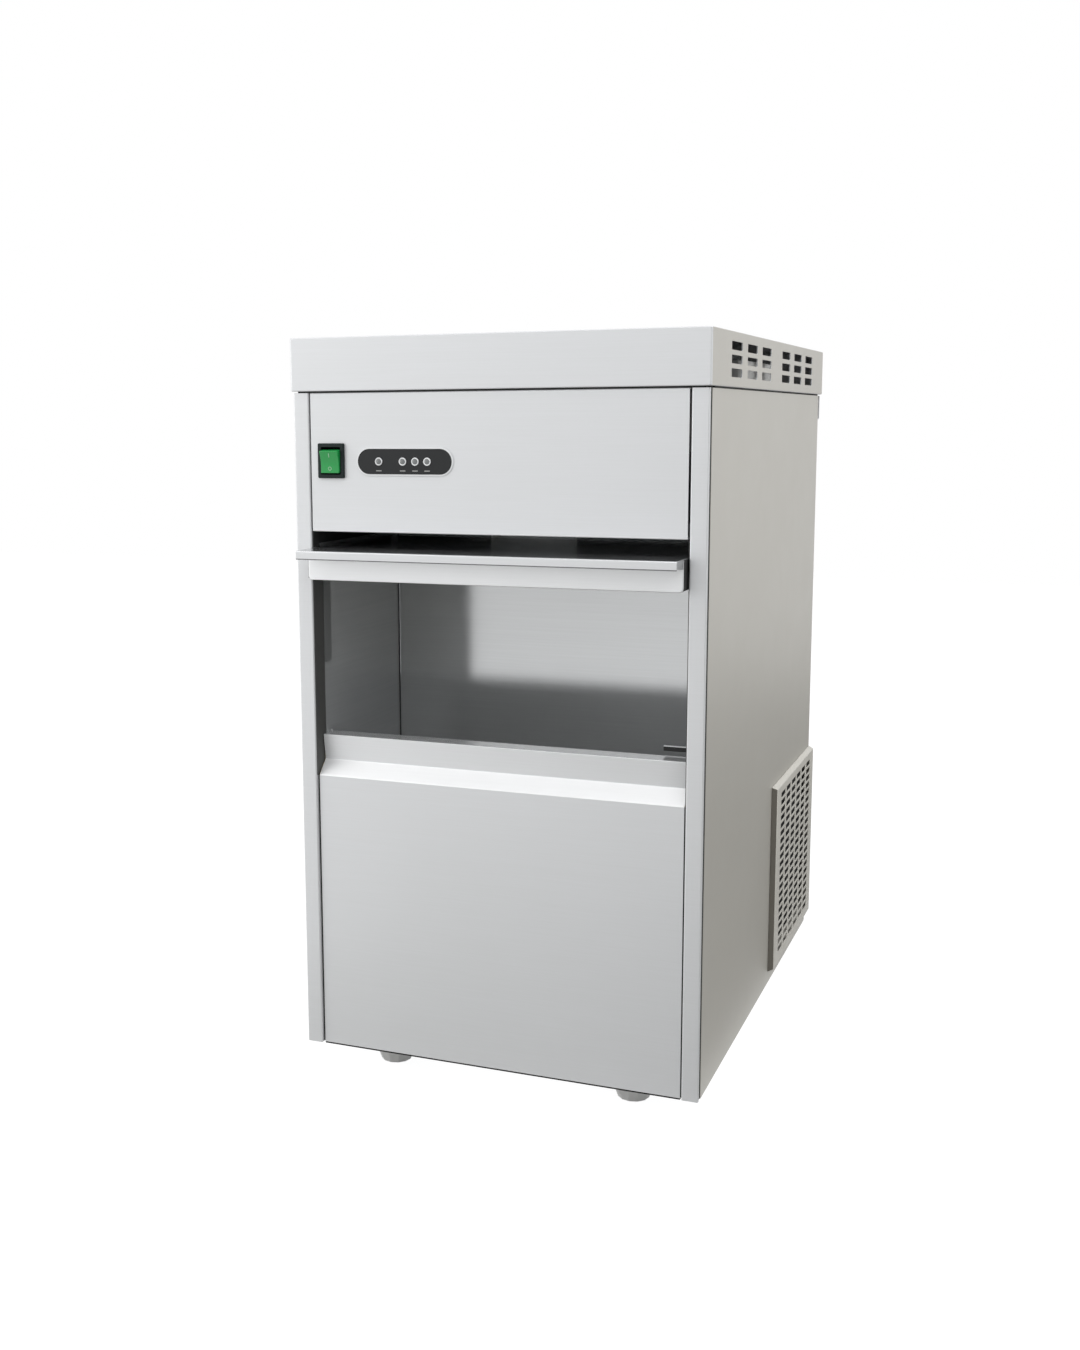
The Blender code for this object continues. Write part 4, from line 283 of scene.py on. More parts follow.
def new_group(name, inputs, outputs):
    group = bpy.data.node_groups.new(name, "ShaderNodeTree")
    for title, kind, value in inputs:
        group.interface.new_socket(title, in_out="INPUT", socket_type=kind).default_value = value
    for title, kind in outputs:
        group.interface.new_socket(title, in_out="OUTPUT", socket_type=kind)
    return group, group.nodes.new("NodeGroupInput").outputs


rolled_grain, given = new_group(
    "rolled grain",
    (("Stretch", "NodeSocketVector", (14, 14, 1100)), ("Pale", "NodeSocketColor", (0.7, 0.7, 0.7, 1)),
     ("Deep", "NodeSocketColor", (0.6, 0.6, 0.6, 1)), ("Smooth", "NodeSocketFloat", 0.3),
     ("Rough", "NodeSocketFloat", 0.45)),
    (("Color", "NodeSocketColor"), ("Roughness", "NodeSocketFloat"), ("Height", "NodeSocketFloat")))
tree = rolled_grain
spot = add_node(tree, "ShaderNodeTexCoord").outputs["Object"]
drawn = add_node(tree, "ShaderNodeMapping", {"Vector": spot, "Scale": given["Stretch"]}).outputs[0]
lines = add_node(tree, "ShaderNodeTexNoise", {"Vector": drawn, "Scale": 1.0, "Detail": 3.0,
                                              "Roughness": 0.6}).outputs[0]
clouds = add_node(tree, "ShaderNodeTexNoise", {"Vector": spot, "Scale": 5.0, "Detail": 2.0}).outputs[0]
smears = add_node(tree, "ShaderNodeTexNoise", {"Vector": spot, "Scale": 26.0, "Detail": 4.0,
                                               "Distortion": 0.6}).outputs[0]
tone = add_node(tree, "ShaderNodeMath", {0: lines, 1: 0.62}, operation="MULTIPLY").outputs[0]
tone = add_node(tree, "ShaderNodeMath", {0: clouds, 1: 0.38, 2: tone}, operation="MULTIPLY_ADD").outputs[0]
tone = add_node(tree, "ShaderNodeMapRange", {"Value": tone, "From Min": 0.32, "From Max": 0.68}).outputs[0]
tint = add_node(tree, "ShaderNodeMix", {0: tone, 6: given["Deep"], 7: given["Pale"]},
                data_type="RGBA").outputs[2]
worn = add_node(tree, "ShaderNodeMath", {0: smears, 1: 0.5, 2: 0.25}, operation="MULTIPLY_ADD").outputs[0]
worn = add_node(tree, "ShaderNodeMath", {0: tone, 1: 0.5, 2: worn}, operation="MULTIPLY_ADD").outputs[0]
gloss = add_node(tree, "ShaderNodeMapRange", {"Value": worn, "From Min": 0.2, "From Max": 1.0,
                                              "To Min": given["Smooth"], "To Max": given["Rough"]}).outputs[0]
add_node(tree, "NodeGroupOutput", {"Color": tint, "Roughness": gloss, "Height": lines})


def finish_from(group, name, values, fixed, bump, depth):
    """Material whose colour, gloss and relief come from a node group."""
    paint = bpy.data.materials.new(name)
    paint.use_nodes = True
    tree = paint.node_tree
    shader = tree.nodes["Principled BSDF"]
    for socket, value in fixed.items():
        shader.inputs[socket].default_value = value
    skin = add_node(tree, "ShaderNodeGroup", values, node_tree=group)
    relief = add_node(tree, "ShaderNodeBump", {"Height": skin.outputs["Height"], "Strength": bump,
                                               "Distance": depth})
    for socket, value in (("Base Color", skin.outputs["Color"]), ("Roughness", skin.outputs["Roughness"]),
                          ("Normal", relief.outputs[0])):
        tree.links.new(value, shader.inputs[socket])
    return paint


def sheet_finish(name, pale, deep, shine, metallic, stretch=(14, 14, 1100), depth=0.00002):
    """Rolled and brushed steel: fine lines along the sheet, with faint clouds in its shine."""
    values = {"Stretch": stretch, "Pale": (*pale, 1), "Deep": (*deep, 1),
              "Smooth": shine[0], "Rough": shine[1]}
    return finish_from(rolled_grain, name, values, {"Metallic": metallic}, bump=0.25, depth=depth)


satin_steel = sheet_finish("satin cabinet steel", (0.725, 0.735, 0.75), (0.70, 0.71, 0.72),
                           (0.36, 0.46), 0.25)
cap_low, cap_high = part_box("top_cap")
cap_mid, cap_span = (cap_low + cap_high) / 2, cap_high - cap_low
gauge, touch = 0.001, 1e-5
cap_lip, cap_corner, cap_edge, sheet_break = 0.012, 0.002, 0.0010, 0.00018
cap = slab("cap_lid", cap_low, cap_high)
pick(cap, "faces", lambda face: face.normal.z < -0.9)
bpy.ops.mesh.delete(type="FACE")
round_edges(cap, lambda edge: runs_along(edge, 2), cap_corner, 4)
round_edges(cap, lambda edge: min(v.co.z for v in edge.verts) > cap_high.z - touch, cap_edge, 3)
pick(cap, "edges", lambda edge: edge.is_boundary)
bpy.ops.mesh.extrude_region_move()
bpy.ops.transform.resize(value=(1 - 2 * cap_lip / cap_span.x, 1 - 2 * cap_lip / cap_span.y, 1),
                         center_override=(cap_mid.x, cap_mid.y, cap_low.z))
bpy.ops.object.mode_set(mode="OBJECT")
round_edges(cap, lambda edge: is_fold(edge) and max(v.co.z for v in edge.verts) < cap_low.z + touch,
            cap_edge, 3)
give_wall(cap, gauge)
vent_size, vent_corner = Vector((0.5, 0.043, 0.0073)), 0.0016
vent_start, vent_step, vent_rise = 0.049, 0.0648, 0.0114
vent_places = [(0, way * (vent_start + vent_step * column), vent_rise * row)
               for way in (-1, 1) for column in range(3) for row in (-1, 0, 1)]
vent = slab("vent_tool", cap_mid - vent_size / 2, cap_mid + vent_size / 2)
round_edges(vent, lambda edge: runs_along(edge, 0), vent_corner, 3)
punch(cap, copies(vent, vent_places))
soften(cap, sheet_break)
fit(cap, "cabinet", "satin_steel", satin_steel, "top_cap")
# The cap's side walls and both side skins take a darker, warmer copy of the cabinet steel: painted shade on
# the machine's sides.
shaded_side_steel = sheet_finish("satin steel with painted side shade", (0.562, 0.545, 0.50), (0.532, 0.515, 0.47), (0.34, 0.48), 0.2)
paint_faces(cap, shaded_side_steel, lambda face: abs(face.normal.x) > 0.9)


# Control fascia: a folded stainless panel across the top front, with return flanges above and
# below, cut out for the switch and the display, and set between the posts with a thin dark gap.
def window(name, low, high, inset, near, far, axis=1):
    """Block between two corners, set in all round, that reaches from near to far along the axis."""
    start, end = [value + inset for value in low], [value - inset for value in high]
    start[axis], end[axis] = sorted((near, far))
    return slab(name, start, end)


def placed(point, far, along):
    """Point of a flat outline, in the two other axes, at a place along the axis."""
    order = {"X": (2, 0, 1), "Y": (0, 2, 1), "Z": (0, 1, 2)}[along]
    return Vector([(point[0], point[1], far)[i] for i in order])


def bent_sheet(name, path, along, start, end, radius=0.0012):
    """Sheet folded along path, with its metal to the right of the path, from start to end."""
    clear_selection()
    bpy.ops.mesh.primitive_plane_add(size=1)
    sheet = bpy.context.object
    sheet.name = sheet.data.name = name
    corners = [placed(point, far, along) for point in path[:2] for far in (start, end)]
    for vertex, corner in zip(sheet.data.vertices, corners):
        vertex.co = corner
    for here, there in zip(path[1:], path[2:]):
        ends = [placed(here, far, along) for far in (start, end)]
        pick(sheet, "edges", lambda edge: all(min((v.co - spot).length for spot in ends) < touch
                                              for v in edge.verts))
        move = placed(there, start, along) - ends[0]
        bpy.ops.mesh.extrude_region_move(TRANSFORM_OT_translate={"value": move})
    bpy.ops.object.mode_set(mode="OBJECT")
    run = Vector(path[1]) - Vector(path[0])
    metal_side = placed((run.y, -run.x), 0, along)
    if sheet.data.polygons[0].normal.dot(metal_side) > 0:
        pick(sheet, "faces", lambda face: True)
        bpy.ops.mesh.flip_normals()
        bpy.ops.object.mode_set(mode="OBJECT")
    if radius:
        apply_step(sheet, "BEVEL", width=radius, segments=4, limit_method="ANGLE", angle_limit=radians(12))
    give_wall(sheet, gauge)
    return sheet


front_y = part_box("left_pillar")[0].y
fascia_low, fascia_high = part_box("control_panel")
fascia_bend, rim, hole_inset, hole_corner, past = 0.0016, 0.0024, 0.0045, 0.0079, 0.01
fascia = bent_sheet("control_fascia",
                    ((fascia_high.y, fascia_low.z), (front_y, fascia_low.z), (front_y, fascia_high.z),
                     (fascia_high.y, fascia_high.z)), "X", fascia_low.x, fascia_high.x, fascia_bend)
switch_low, switch_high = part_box("switch_bezel")
display_low, display_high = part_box("display_bezel")
punch(fascia, window("switch_hole", switch_low, switch_high, rim, front_y - past, front_y + past))
hole = window("display_hole", display_low, display_high, hole_inset, front_y - past, front_y + past)
round_edges(hole, lambda edge: runs_along(edge, 1), hole_corner, 6)
punch(fascia, hole)
soften(fascia)
fit(fascia, "cabinet", "satin_steel", satin_steel, "control_panel")
# The fascia's lower bend takes a paler steel than the rest of the sheet: a painted highlight along its hem.
painted_highlight_steel = sheet_finish("steel with painted edge highlight", (0.88, 0.885, 0.89), (0.85, 0.855, 0.86), (0.3, 0.4), 0.3)
paint_faces(fascia, painted_highlight_steel, lambda face: -0.95 < face.normal.z < -0.15 and face.normal.y < -0.1)


# Front posts: folded stainless channels left and right of the opening, joggled at their outer
# edge to pass behind the side skins, and notched inside for the ends of the door's guides.
def across(side, near, far):
    """Two places on one side of the middle, the lower one first."""
    return sorted((side * near, side * far))


half_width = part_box("right_side_panel")[1].x
post_width, post_return, wrap, joggle, slope = 0.015, 0.020, 0.005, 0.013, 0.0012
post_edge, post_bend, clearance = half_width - post_width, 0.0013, 0.0003
notch_low, notch_high, notch_depth = 0.4837, 0.5103, 0.003
tuck = half_width - gauge - clearance
post_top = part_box("left_pillar")[1].z
base_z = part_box("left_pillar")[0].z
guide_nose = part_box("left_door_guide")[0].y
hands = (("left", -1), ("right", 1))
for hand, side in hands:
    path = [(tuck, front_y + wrap + joggle), (tuck, front_y + wrap + slope),
            (half_width, front_y + wrap - slope), (half_width, front_y), (post_edge, front_y),
            (post_edge, front_y + post_return)]
    if side < 0:
        path = [(-x, y) for x, y in reversed(path)]
    post = bent_sheet(f"{hand}_post", path, "Z", base_z, post_top, post_bend)
    inner, outer = across(side, post_edge - past, post_edge + notch_depth)
    punch(post, slab("post_notch", (inner, guide_nose - clearance, notch_low),
                     (outer, front_y + post_return + past, notch_high)))
    soften(post)
    fit(post, "cabinet", "satin_steel", satin_steel, f"{hand}_pillar")

# Side skins: satin stainless sheets with a return at the rear and a joggled ledge on top that
# carries the cap. Each is cut open low at the rear, behind its air grille.
rear_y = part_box("right_side_panel")[1].y
flange, seam, ledge_inset, ledge_foot = 0.012, 0.0040, 0.003, 0.0023
grille_low, grille_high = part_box("right_grille")
plug_inset, skin_reach = 0.008, 0.004
for hand, side in hands:
    path = [(half_width - flange, rear_y), (half_width, rear_y), (half_width, front_y + wrap + seam)]
    ledge = [(half_width - gauge / 2, post_top - ledge_foot),
             (half_width - ledge_inset, post_top - ledge_foot + gauge / 10),
             (half_width - ledge_inset, cap_low.z - clearance), (half_width - flange, cap_low.z - clearance)]
    if side < 0:
        path = [(-x, y) for x, y in reversed(path)]
        ledge = [(-x, z) for x, z in ledge]
    else:
        ledge = ledge[::-1]
    skin = bent_sheet(f"{hand}_skin", path, "Z", base_z, post_top)
    top = bent_sheet("ledge", ledge, "Y", front_y + post_return + clearance, rear_y - flange, radius=0)
    punch(skin, top, "UNION")
    punch(skin, window("grille_hole", grille_low, grille_high, plug_inset - clearance,
                       side * (half_width - skin_reach), side * (half_width + skin_reach), axis=0))
    soften(skin)
    # Each skin takes the darker side steel, painted shade on the machine's sides.
    fit(skin, "cabinet", "satin_steel", shaded_side_steel, f"{hand}_side_panel")

# Lower fascia: the big folded front panel. Its top slants back to a shallow recess that the
# closed door's lip covers, and ends in a narrow hem along the sill.
lower_low, lower_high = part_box("lower_front_panel")
setback, recess_height, slant, recess_lean, hem, lower_bend = 0.003, 0.0236, 0.013, 0.0035, 0.0022, 0.0008
face_y = front_y + setback
recess_y, recess_z = face_y + slant, lower_high.z - recess_height
hem_y = recess_y - recess_lean
lower = bent_sheet("lower_fascia",
                   ((lower_high.y, lower_low.z), (face_y, lower_low.z), (face_y, recess_z - slant),
                    (recess_y, recess_z), (hem_y, lower_high.z), (hem_y + hem, lower_high.z)),
                   "X", lower_low.x, lower_high.x, lower_bend)
soften(lower)
fit(lower, "cabinet", "satin_steel", satin_steel, "lower_front_panel")
lit_recess_steel = sheet_finish("recess steel with painted light", (0.81, 0.82, 0.835), (0.78, 0.79, 0.80), (0.34, 0.44), 0.25)
# The lower fascia's slant takes the same painted highlight.
paint_faces(lower, painted_highlight_steel, lambda face: 0.3 < face.normal.z < 0.9 and face.normal.y < 0)
# The recess face, turned a little down, takes a paler copy of the cabinet steel: painted light.
paint_faces(lower, lit_recess_steel, lambda face: -0.3 < face.normal.z < -0.05 and face.normal.y < 0)


# Bin liner: a tub of brushed stainless steel, folded and welded, with a flange to the front along
# the sill and up both sides, and a hole at the back for the ice chute.
def middle(edge):
    return (edge.verts[0].co + edge.verts[1].co) / 2


liner_steel = sheet_finish("brushed bin steel", (0.72, 0.73, 0.735), (0.67, 0.68, 0.685), (0.10, 0.15), 0.58,
                           stretch=(9, 9, 700), depth=0.00001)
liner_low, liner_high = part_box("bin_liner")
bin_half, bin_floor, bin_front, flange_y = 0.1775, 0.095, front_y + 0.0375, front_y + 0.0206
bin_back, bin_sill = liner_high.y - gauge, lower_high.z - gauge
floor_bend, corner_bend, chute_hole_top = 0.006, 0.0015, 0.5083
tub = slab("bin_tub", (-bin_half, bin_front, bin_floor), (bin_half, bin_back, bin_sill))
pick(tub, "faces", lambda face: face.normal.z > 0.9)
bpy.ops.mesh.delete(type="FACE")
pick(tub, "edges", lambda edge: edge.is_boundary and middle(edge).y > bin_front + touch)
bpy.ops.mesh.extrude_region_move(TRANSFORM_OT_translate={"value": (0, 0, liner_high.z - bin_sill)})
pick(tub, "edges", lambda edge: edge.is_boundary and abs(middle(edge).y - bin_front) < touch)
bpy.ops.mesh.extrude_region_move(TRANSFORM_OT_translate={"value": (0, flange_y - bin_front, 0)})
pick(tub, "edges", lambda edge: edge.is_boundary and abs(middle(edge).z - bin_sill) < touch
     and runs_along(edge, 0))
bpy.ops.mesh.extrude_region_move(TRANSFORM_OT_translate={"value": (0, liner_low.y - flange_y, 0)})
round_edges(tub, lambda edge: not edge.is_boundary and middle(edge).z < bin_floor + touch, floor_bend, 4)
round_edges(tub, lambda edge: is_fold(edge) and runs_along(edge, 2)
            and abs(abs(middle(edge).x) - bin_half) < touch, corner_bend, 3)
give_wall(tub, gauge, inside=False)
chute_low, chute_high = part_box("ice_chute")
punch(tub, slab("chute_hole", (chute_low.x - clearance, bin_back - past, chute_low.z - clearance),
                (chute_high.x + clearance, bin_back + past, chute_hole_top)))
for side in (-1, 1):
    inner, outer = across(side, post_edge - clearance, half_width + past)
    punch(tub, slab("post_gap", (inner, liner_low.y - past, bin_floor),
                    (outer, flange_y - clearance, post_top)))
# One small hole is left open at the sill's right end, and this closes it.
pick(tub, "edges", lambda edge: edge.is_boundary)
bpy.ops.mesh.edge_face_add()
bpy.ops.object.mode_set(mode="OBJECT")
soften(tub)
fit(tub, "cabinet", "brushed_liner", liner_steel, "bin_liner")


# Door: a folded steel skin that turns over the hinge and ends in front as a hooked finger lip with
# a cheek at each end, and under it a shallow steel tray with rounded lower corners. Between them
# are foam and the moulded hinge bar; the axle runs in the guides on the bin's walls.
def extruded(name, outline, along, start, end):
    """Solid with the flat outline, in the two other axes, from start to end."""
    clear_selection()
    bpy.ops.mesh.primitive_circle_add(vertices=len(outline), fill_type="NGON")
    piece = bpy.context.object
    piece.name = piece.data.name = name
    for vertex, point in zip(piece.data.vertices, outline):
        vertex.co = placed(point, start, along)
    pick(piece, "faces", lambda face: True)
    move = placed((0, 0), end - start, along)
    bpy.ops.mesh.extrude_region_move(TRANSFORM_OT_translate={"value": move})
    bpy.ops.mesh.select_all(action="SELECT")
    bpy.ops.mesh.normals_make_consistent(inside=False)
    bpy.ops.object.mode_set(mode="OBJECT")
    return piece


def arc(centre, radius, start, end, steps):
    """Points round a circle from one angle to another, in degrees."""
    turns = [radians(start + (end - start) * step / steps) for step in range(steps + 1)]
    return [(centre[0] + radius * cos(turn), centre[1] + radius * sin(turn)) for turn in turns]


door_low, door_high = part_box("door_skin")
tray_low, tray_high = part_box("door_inner_pan")
door_half, door_middle = door_high.x, (door_low.z + door_high.z) / 2
door_turn = (door_high.z - door_low.z) / 2
lip_hook, door_bend, cheek_depth, weld, hair = 0.007, 0.0013, 0.0085, 0.0006, 0.0001
pin_y = door_high.y - door_turn
door_path = [(door_low.y, door_high.z - lip_hook), (door_low.y, door_high.z)]
door_path += arc((pin_y, door_middle), door_turn, 90, -90, 18) + [(tray_high.y + gauge / 2, door_low.z)]
door = bent_sheet("door_shell", door_path, "X", -door_half, door_half, door_bend)
cheek_top, cheek_foot = door_high.z - weld, door_high.z - cheek_depth
cheek = [(door_low.y + weld, cheek_top), (door_low.y + weld, door_high.z - lip_hook + 4 * hair),
         (tray_low.y - 12 * hair, cheek_foot), (tray_low.y, cheek_foot), (tray_low.y, cheek_top)]
for side in (-1, 1):
    inner, outer = across(side, door_half - hair - gauge, door_half - hair)
    punch(door, extruded("cheek", cheek, "X", inner, outer), "UNION")
soften(door, sheet_break, segments=2)
# The shell takes a darker, glossier steel than the cabinet, painted shade for its outer face in the dark
# slot; the lip's front face keeps the paler cabinet steel, painted light on the one face turned to the front.
shaded_door_steel = sheet_finish("door steel with painted shade", (0.61, 0.62, 0.63), (0.575, 0.585, 0.595), (0.16, 0.22), 0.96,
                          depth=0.000005)
fit(door, "door", "satin_steel", shaded_door_steel, "door_skin")
paint_faces(door, satin_steel,
            lambda face: face.normal.y < -0.9 and face.calc_center_median().y < door_low.y + 2 * hair)

tray_corner, tray_edge = 0.0035, 0.0010
tray = slab("door_tray", tray_low, tray_high)
pick(tray, "faces", lambda face: face.normal.z > 0.9)
bpy.ops.mesh.delete(type="FACE")
round_edges(tray, lambda edge: runs_along(edge, 1) and middle(edge).z < tray_low.z + touch, tray_corner, 6)
round_edges(tray, lambda edge: is_fold(edge) and middle(edge).y < tray_low.y + touch, tray_edge, 3)
give_wall(tray, gauge)
soften(tray)
# The tray takes a paler copy of the cabinet steel: painted light where the lip shades it.
lit_tray_steel = sheet_finish("tray steel with painted light", (0.88, 0.89, 0.90), (0.85, 0.86, 0.87), (0.3, 0.4), 0.5)
fit(tray, "door", "satin_steel", lit_tray_steel, "door_inner_pan")
# A thin dark strip along the lip's lower edge is the painted shadow line under its hook.
lip_shadow_grey = sheet_finish("painted lip shadow", (0.13, 0.13, 0.135), (0.10, 0.10, 0.105), (0.4, 0.5), 0.3)
lip_shadow_y, lip_shadow_z, lip_shadow_drop = door_low.y + 2 * hair, door_high.z - lip_hook, 0.0008
lip_shadow = slab("lip_shadow_strip", (-door_half, lip_shadow_y, lip_shadow_z - lip_shadow_drop),
              (door_half, lip_shadow_y + gauge, lip_shadow_z))
fit(lip_shadow, "door", "satin_steel", lip_shadow_grey)

# Rocker switch: a black snap-in frame with a raised rim, and a glossy green key that rocks in it.
# The key has a light stroke on its upper half and a light ring on its lower half.
moulded_skin, given = new_group(
    "moulded skin",
    (("Pale", "NodeSocketColor", (0.5, 0.5, 0.5, 1)), ("Deep", "NodeSocketColor", (0.4, 0.4, 0.4, 1)),
     ("Smooth", "NodeSocketFloat", 0.35), ("Rough", "NodeSocketFloat", 0.5)),
    (("Color", "NodeSocketColor"), ("Roughness", "NodeSocketFloat"), ("Height", "NodeSocketFloat")))
tree = moulded_skin
spot = add_node(tree, "ShaderNodeTexCoord").outputs["Object"]
grain = add_node(tree, "ShaderNodeTexNoise", {"Vector": spot, "Scale": 900.0, "Detail": 2.0}).outputs[0]
clouds = add_node(tree, "ShaderNodeTexNoise", {"Vector": spot, "Scale": 22.0, "Detail": 4.0}).outputs[0]
tint = add_node(tree, "ShaderNodeMix", {0: clouds, 6: given["Deep"], 7: given["Pale"]},
                data_type="RGBA").outputs[2]
gloss = add_node(tree, "ShaderNodeMapRange", {"Value": clouds, "From Min": 0.3, "From Max": 0.7,
                                              "To Min": given["Smooth"], "To Max": given["Rough"]}).outputs[0]
add_node(tree, "NodeGroupOutput", {"Color": tint, "Roughness": gloss, "Height": grain})


def moulded(name, colours, shine, bump=0.15, coat=0.0, mirror=0.5):
    """Moulded plastic with a fine skin and slight clouds in its colour."""
    pale, deep = [(*colour, 1) for colour in colours]
    values = {"Pale": pale, "Deep": deep, "Smooth": shine[0], "Rough": shine[1]}
    fixed = {"Coat Weight": coat, "Specular IOR Level": mirror}
    return finish_from(moulded_skin, name, values, fixed, bump, depth=0.0002)


black_plastic = moulded("black switch plastic", ((0.010, 0.018, 0.017), (0.006, 0.011, 0.011)), (0.45, 0.6),
                        mirror=0.22)
key_green = moulded("green switch lens", ((0.020, 0.38, 0.085), (0.010, 0.27, 0.055)), (0.25, 0.4), coat=0.1)
mark_green = moulded("pale green switch marks", ((0.42, 0.66, 0.46), (0.34, 0.58, 0.38)), (0.4, 0.5))
frame_corner, frame_edge, well_wall, well_floor, plastic_break = 0.0012, 0.0008, 0.0010, 0.002, 0.0002
frame_body = window("switch_frame", switch_low, switch_high, 0, switch_low.y, front_y - 2 * hair)
round_edges(frame_body, lambda edge: runs_along(edge, 1), frame_corner, 4)
round_edges(frame_body, lambda edge: middle(edge).y < switch_low.y + touch, frame_edge, 3)
punch(frame_body, window("switch_body", switch_low, switch_high, rim, front_y - gauge, switch_high.y),
      "UNION")
punch(frame_body, window("switch_well", switch_low, switch_high, rim + well_wall,
                         switch_low.y - gauge, switch_high.y - well_floor))
soften(frame_body, plastic_break)
fit(frame_body, "cabinet", "black_plastic", black_plastic, "switch_bezel")

key_low, key_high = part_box("switch_rocker")
key_tilt, key_depth, key_hollow, key_height = radians(9), 0.007, 0.0014, 0.5765
pivot = Vector(((key_low.x + key_high.x) / 2, front_y + gauge, key_height))
half_key_x, half_key_z, key_corner = 0.0090, 0.0112, 0.0006
reach = half_key_z * cos(key_tilt) - key_depth * sin(key_tilt)


def key_face(height):
    """Depth of the key's hollow face at a height over its middle."""
    return -key_depth + key_hollow - key_hollow * abs(height / reach) ** 1.6


key_shape = [(key_face(reach * step / 8), reach * step / 8) for step in range(8, -9, -1)]
key_shape += [(key_depth / 4, -reach), (key_depth / 4, reach)]
key = extruded("rocker_key", [(pivot.y + y * cos(key_tilt) - z * sin(key_tilt),
                               pivot.z + y * sin(key_tilt) + z * cos(key_tilt)) for y, z in key_shape],
               "X", pivot.x - half_key_x, pivot.x + half_key_x)
round_edges(key, is_fold, key_corner, 3)
smooth(key, 40)
fit(key, "switch_key", "green_lens", key_green, "switch_rocker")
stroke_half, mark_height, mark_lean = Vector((0.0003, 0.0002, 0.0018)), 0.0060, 6
mark_radius, mark_wire = 0.0015, 0.0003
stroke = slab("rocker_stroke", -stroke_half, stroke_half)
clear_selection()
bpy.ops.mesh.primitive_torus_add(major_segments=24, minor_segments=6, major_radius=mark_radius,
                                 minor_radius=mark_wire, rotation=(pi / 2, 0, 0))
bpy.ops.object.transform_apply()
ring_mark = bpy.context.object
ring_mark.name = "rocker_ring"
for mark, way in ((stroke, 1), (ring_mark, -1)):
    height, lean = way * mark_height, way * mark_lean
    spot_y = pivot.y + key_face(height) * cos(key_tilt) - height * sin(key_tilt)
    spot_z = pivot.z + key_face(height) * sin(key_tilt) + height * cos(key_tilt)
    mark.data.transform(Matrix.Translation((pivot.x, spot_y, spot_z))
                        @ Matrix.Rotation(key_tilt + radians(lean), 4, "X"))
    fit(mark, "switch_key", "lamp_lens", mark_green)

# Seals and painted shade: dark grey strips on the posts' inner returns are painted shade there, black strips
# beside the door's slot are painted shade in the slot, and the door's ends carry black strips.
# Black strips in the gaps between the panels and under the cap are painted shade in those gaps, and one at
# the foot of the lower fascia is its painted shadow line. Black foam lies beside the chute, a black filter
# sheet behind each grille is also painted shade behind its slots, and thin black beads darken the bin's rear
# corners.
black_seal_and_shade = moulded("black rubber and painted shade", ((0.012, 0.012, 0.012), (0.006, 0.006, 0.006)), (0.6, 0.8),
                     bump=0.4)
post_shade_grey = moulded("painted post shade", ((0.085, 0.085, 0.082), (0.068, 0.068, 0.066)), (0.6, 0.8), bump=0.4)
cap_shadow_half, cap_shadow_width, shade_strip_wall, panel_gap = 0.186, 0.003, 0.0006, 0.0017
shade_strip_y, slot_y, nose_y, filter_inset = front_y + 0.0012, -0.09, -0.2455, 0.011
slot_inner, slot_outer, slot_shade_foot = post_edge - 0.00135, post_edge - 0.0010, door_high.z + 0.0035
foam_low, foam_high, foam_side, foam_wall, door_strip_foot = 0.4995, 0.5136, 0.0005, 0.0015, 0.0015
cap_shadow_low, cap_shadow_high = post_top + hair, cap_low.z - hair
ledge_shadow_inner, ledge_shadow_outer, filter_x = half_width - 0.0024, half_width - 0.0009, half_width - 3 * gauge
seal_blocks = [
    ("cap_shadow_strip", (-cap_shadow_half, shade_strip_y, cap_shadow_low), (cap_shadow_half, shade_strip_y + cap_shadow_width, cap_shadow_high)),
    ("fascia_shadow_strip", (lower_low.x, face_y + clearance, lower_low.z - 12 * hair),
     (lower_high.x, face_y + past, lower_low.z - hair)),
    ("left_back_foam", (-bin_half + foam_wall, bin_back - foam_wall, foam_low),
     (chute_low.x - foam_side, bin_back - hair, foam_high)),
    ("right_back_foam", (chute_high.x + foam_side, bin_back - foam_wall, foam_low),
     (bin_half - foam_wall, bin_back - hair, foam_high))]
for hand, side in hands:
    for label, near, far, fore, aft, low, high in (
            ("gap_shade_strip", post_edge - panel_gap, post_edge - hair, face_y + shade_strip_wall, face_y + gauge,
             base_z + gauge, recess_z - slant),
            ("post_shade_strip", post_edge - shade_strip_wall, post_edge, shade_strip_y, front_y + post_return,
             recess_z - slant, notch_low - clearance),
            ("slot_shade_strip", slot_inner, slot_outer, shade_strip_y, slot_y, slot_shade_foot, fascia_low.z),
            ("nose_shade_strip", slot_inner, slot_outer, shade_strip_y, nose_y, door_high.z + gauge / 2, slot_shade_foot),
            ("corner_bead", bin_half - gauge, bin_half + 2 * hair, bin_back - gauge, bin_back + 2 * hair,
             bin_floor + floor_bend + gauge, liner_high.z - 2 * gauge),
            ("ledge_shadow_strip", ledge_shadow_inner, ledge_shadow_outer, front_y + post_return,
             rear_y - gauge / 2, cap_shadow_low, cap_shadow_high),
            ("corner_shade_strip", ledge_shadow_outer, half_width - 4 * hair, front_y + wrap + 2 * hair,
             front_y + wrap + seam + gauge, base_z + gauge, post_top - gauge),
            ("grille_filter_and_shade", filter_x - 4 * hair, filter_x, grille_low.y + filter_inset,
             grille_high.y - filter_inset, grille_low.z + filter_inset, grille_high.z - filter_inset)):
        near_x, far_x = across(side, near, far)
        seal_blocks.append((f"{hand}_{label}", (near_x, fore, low), (far_x, aft, high)))
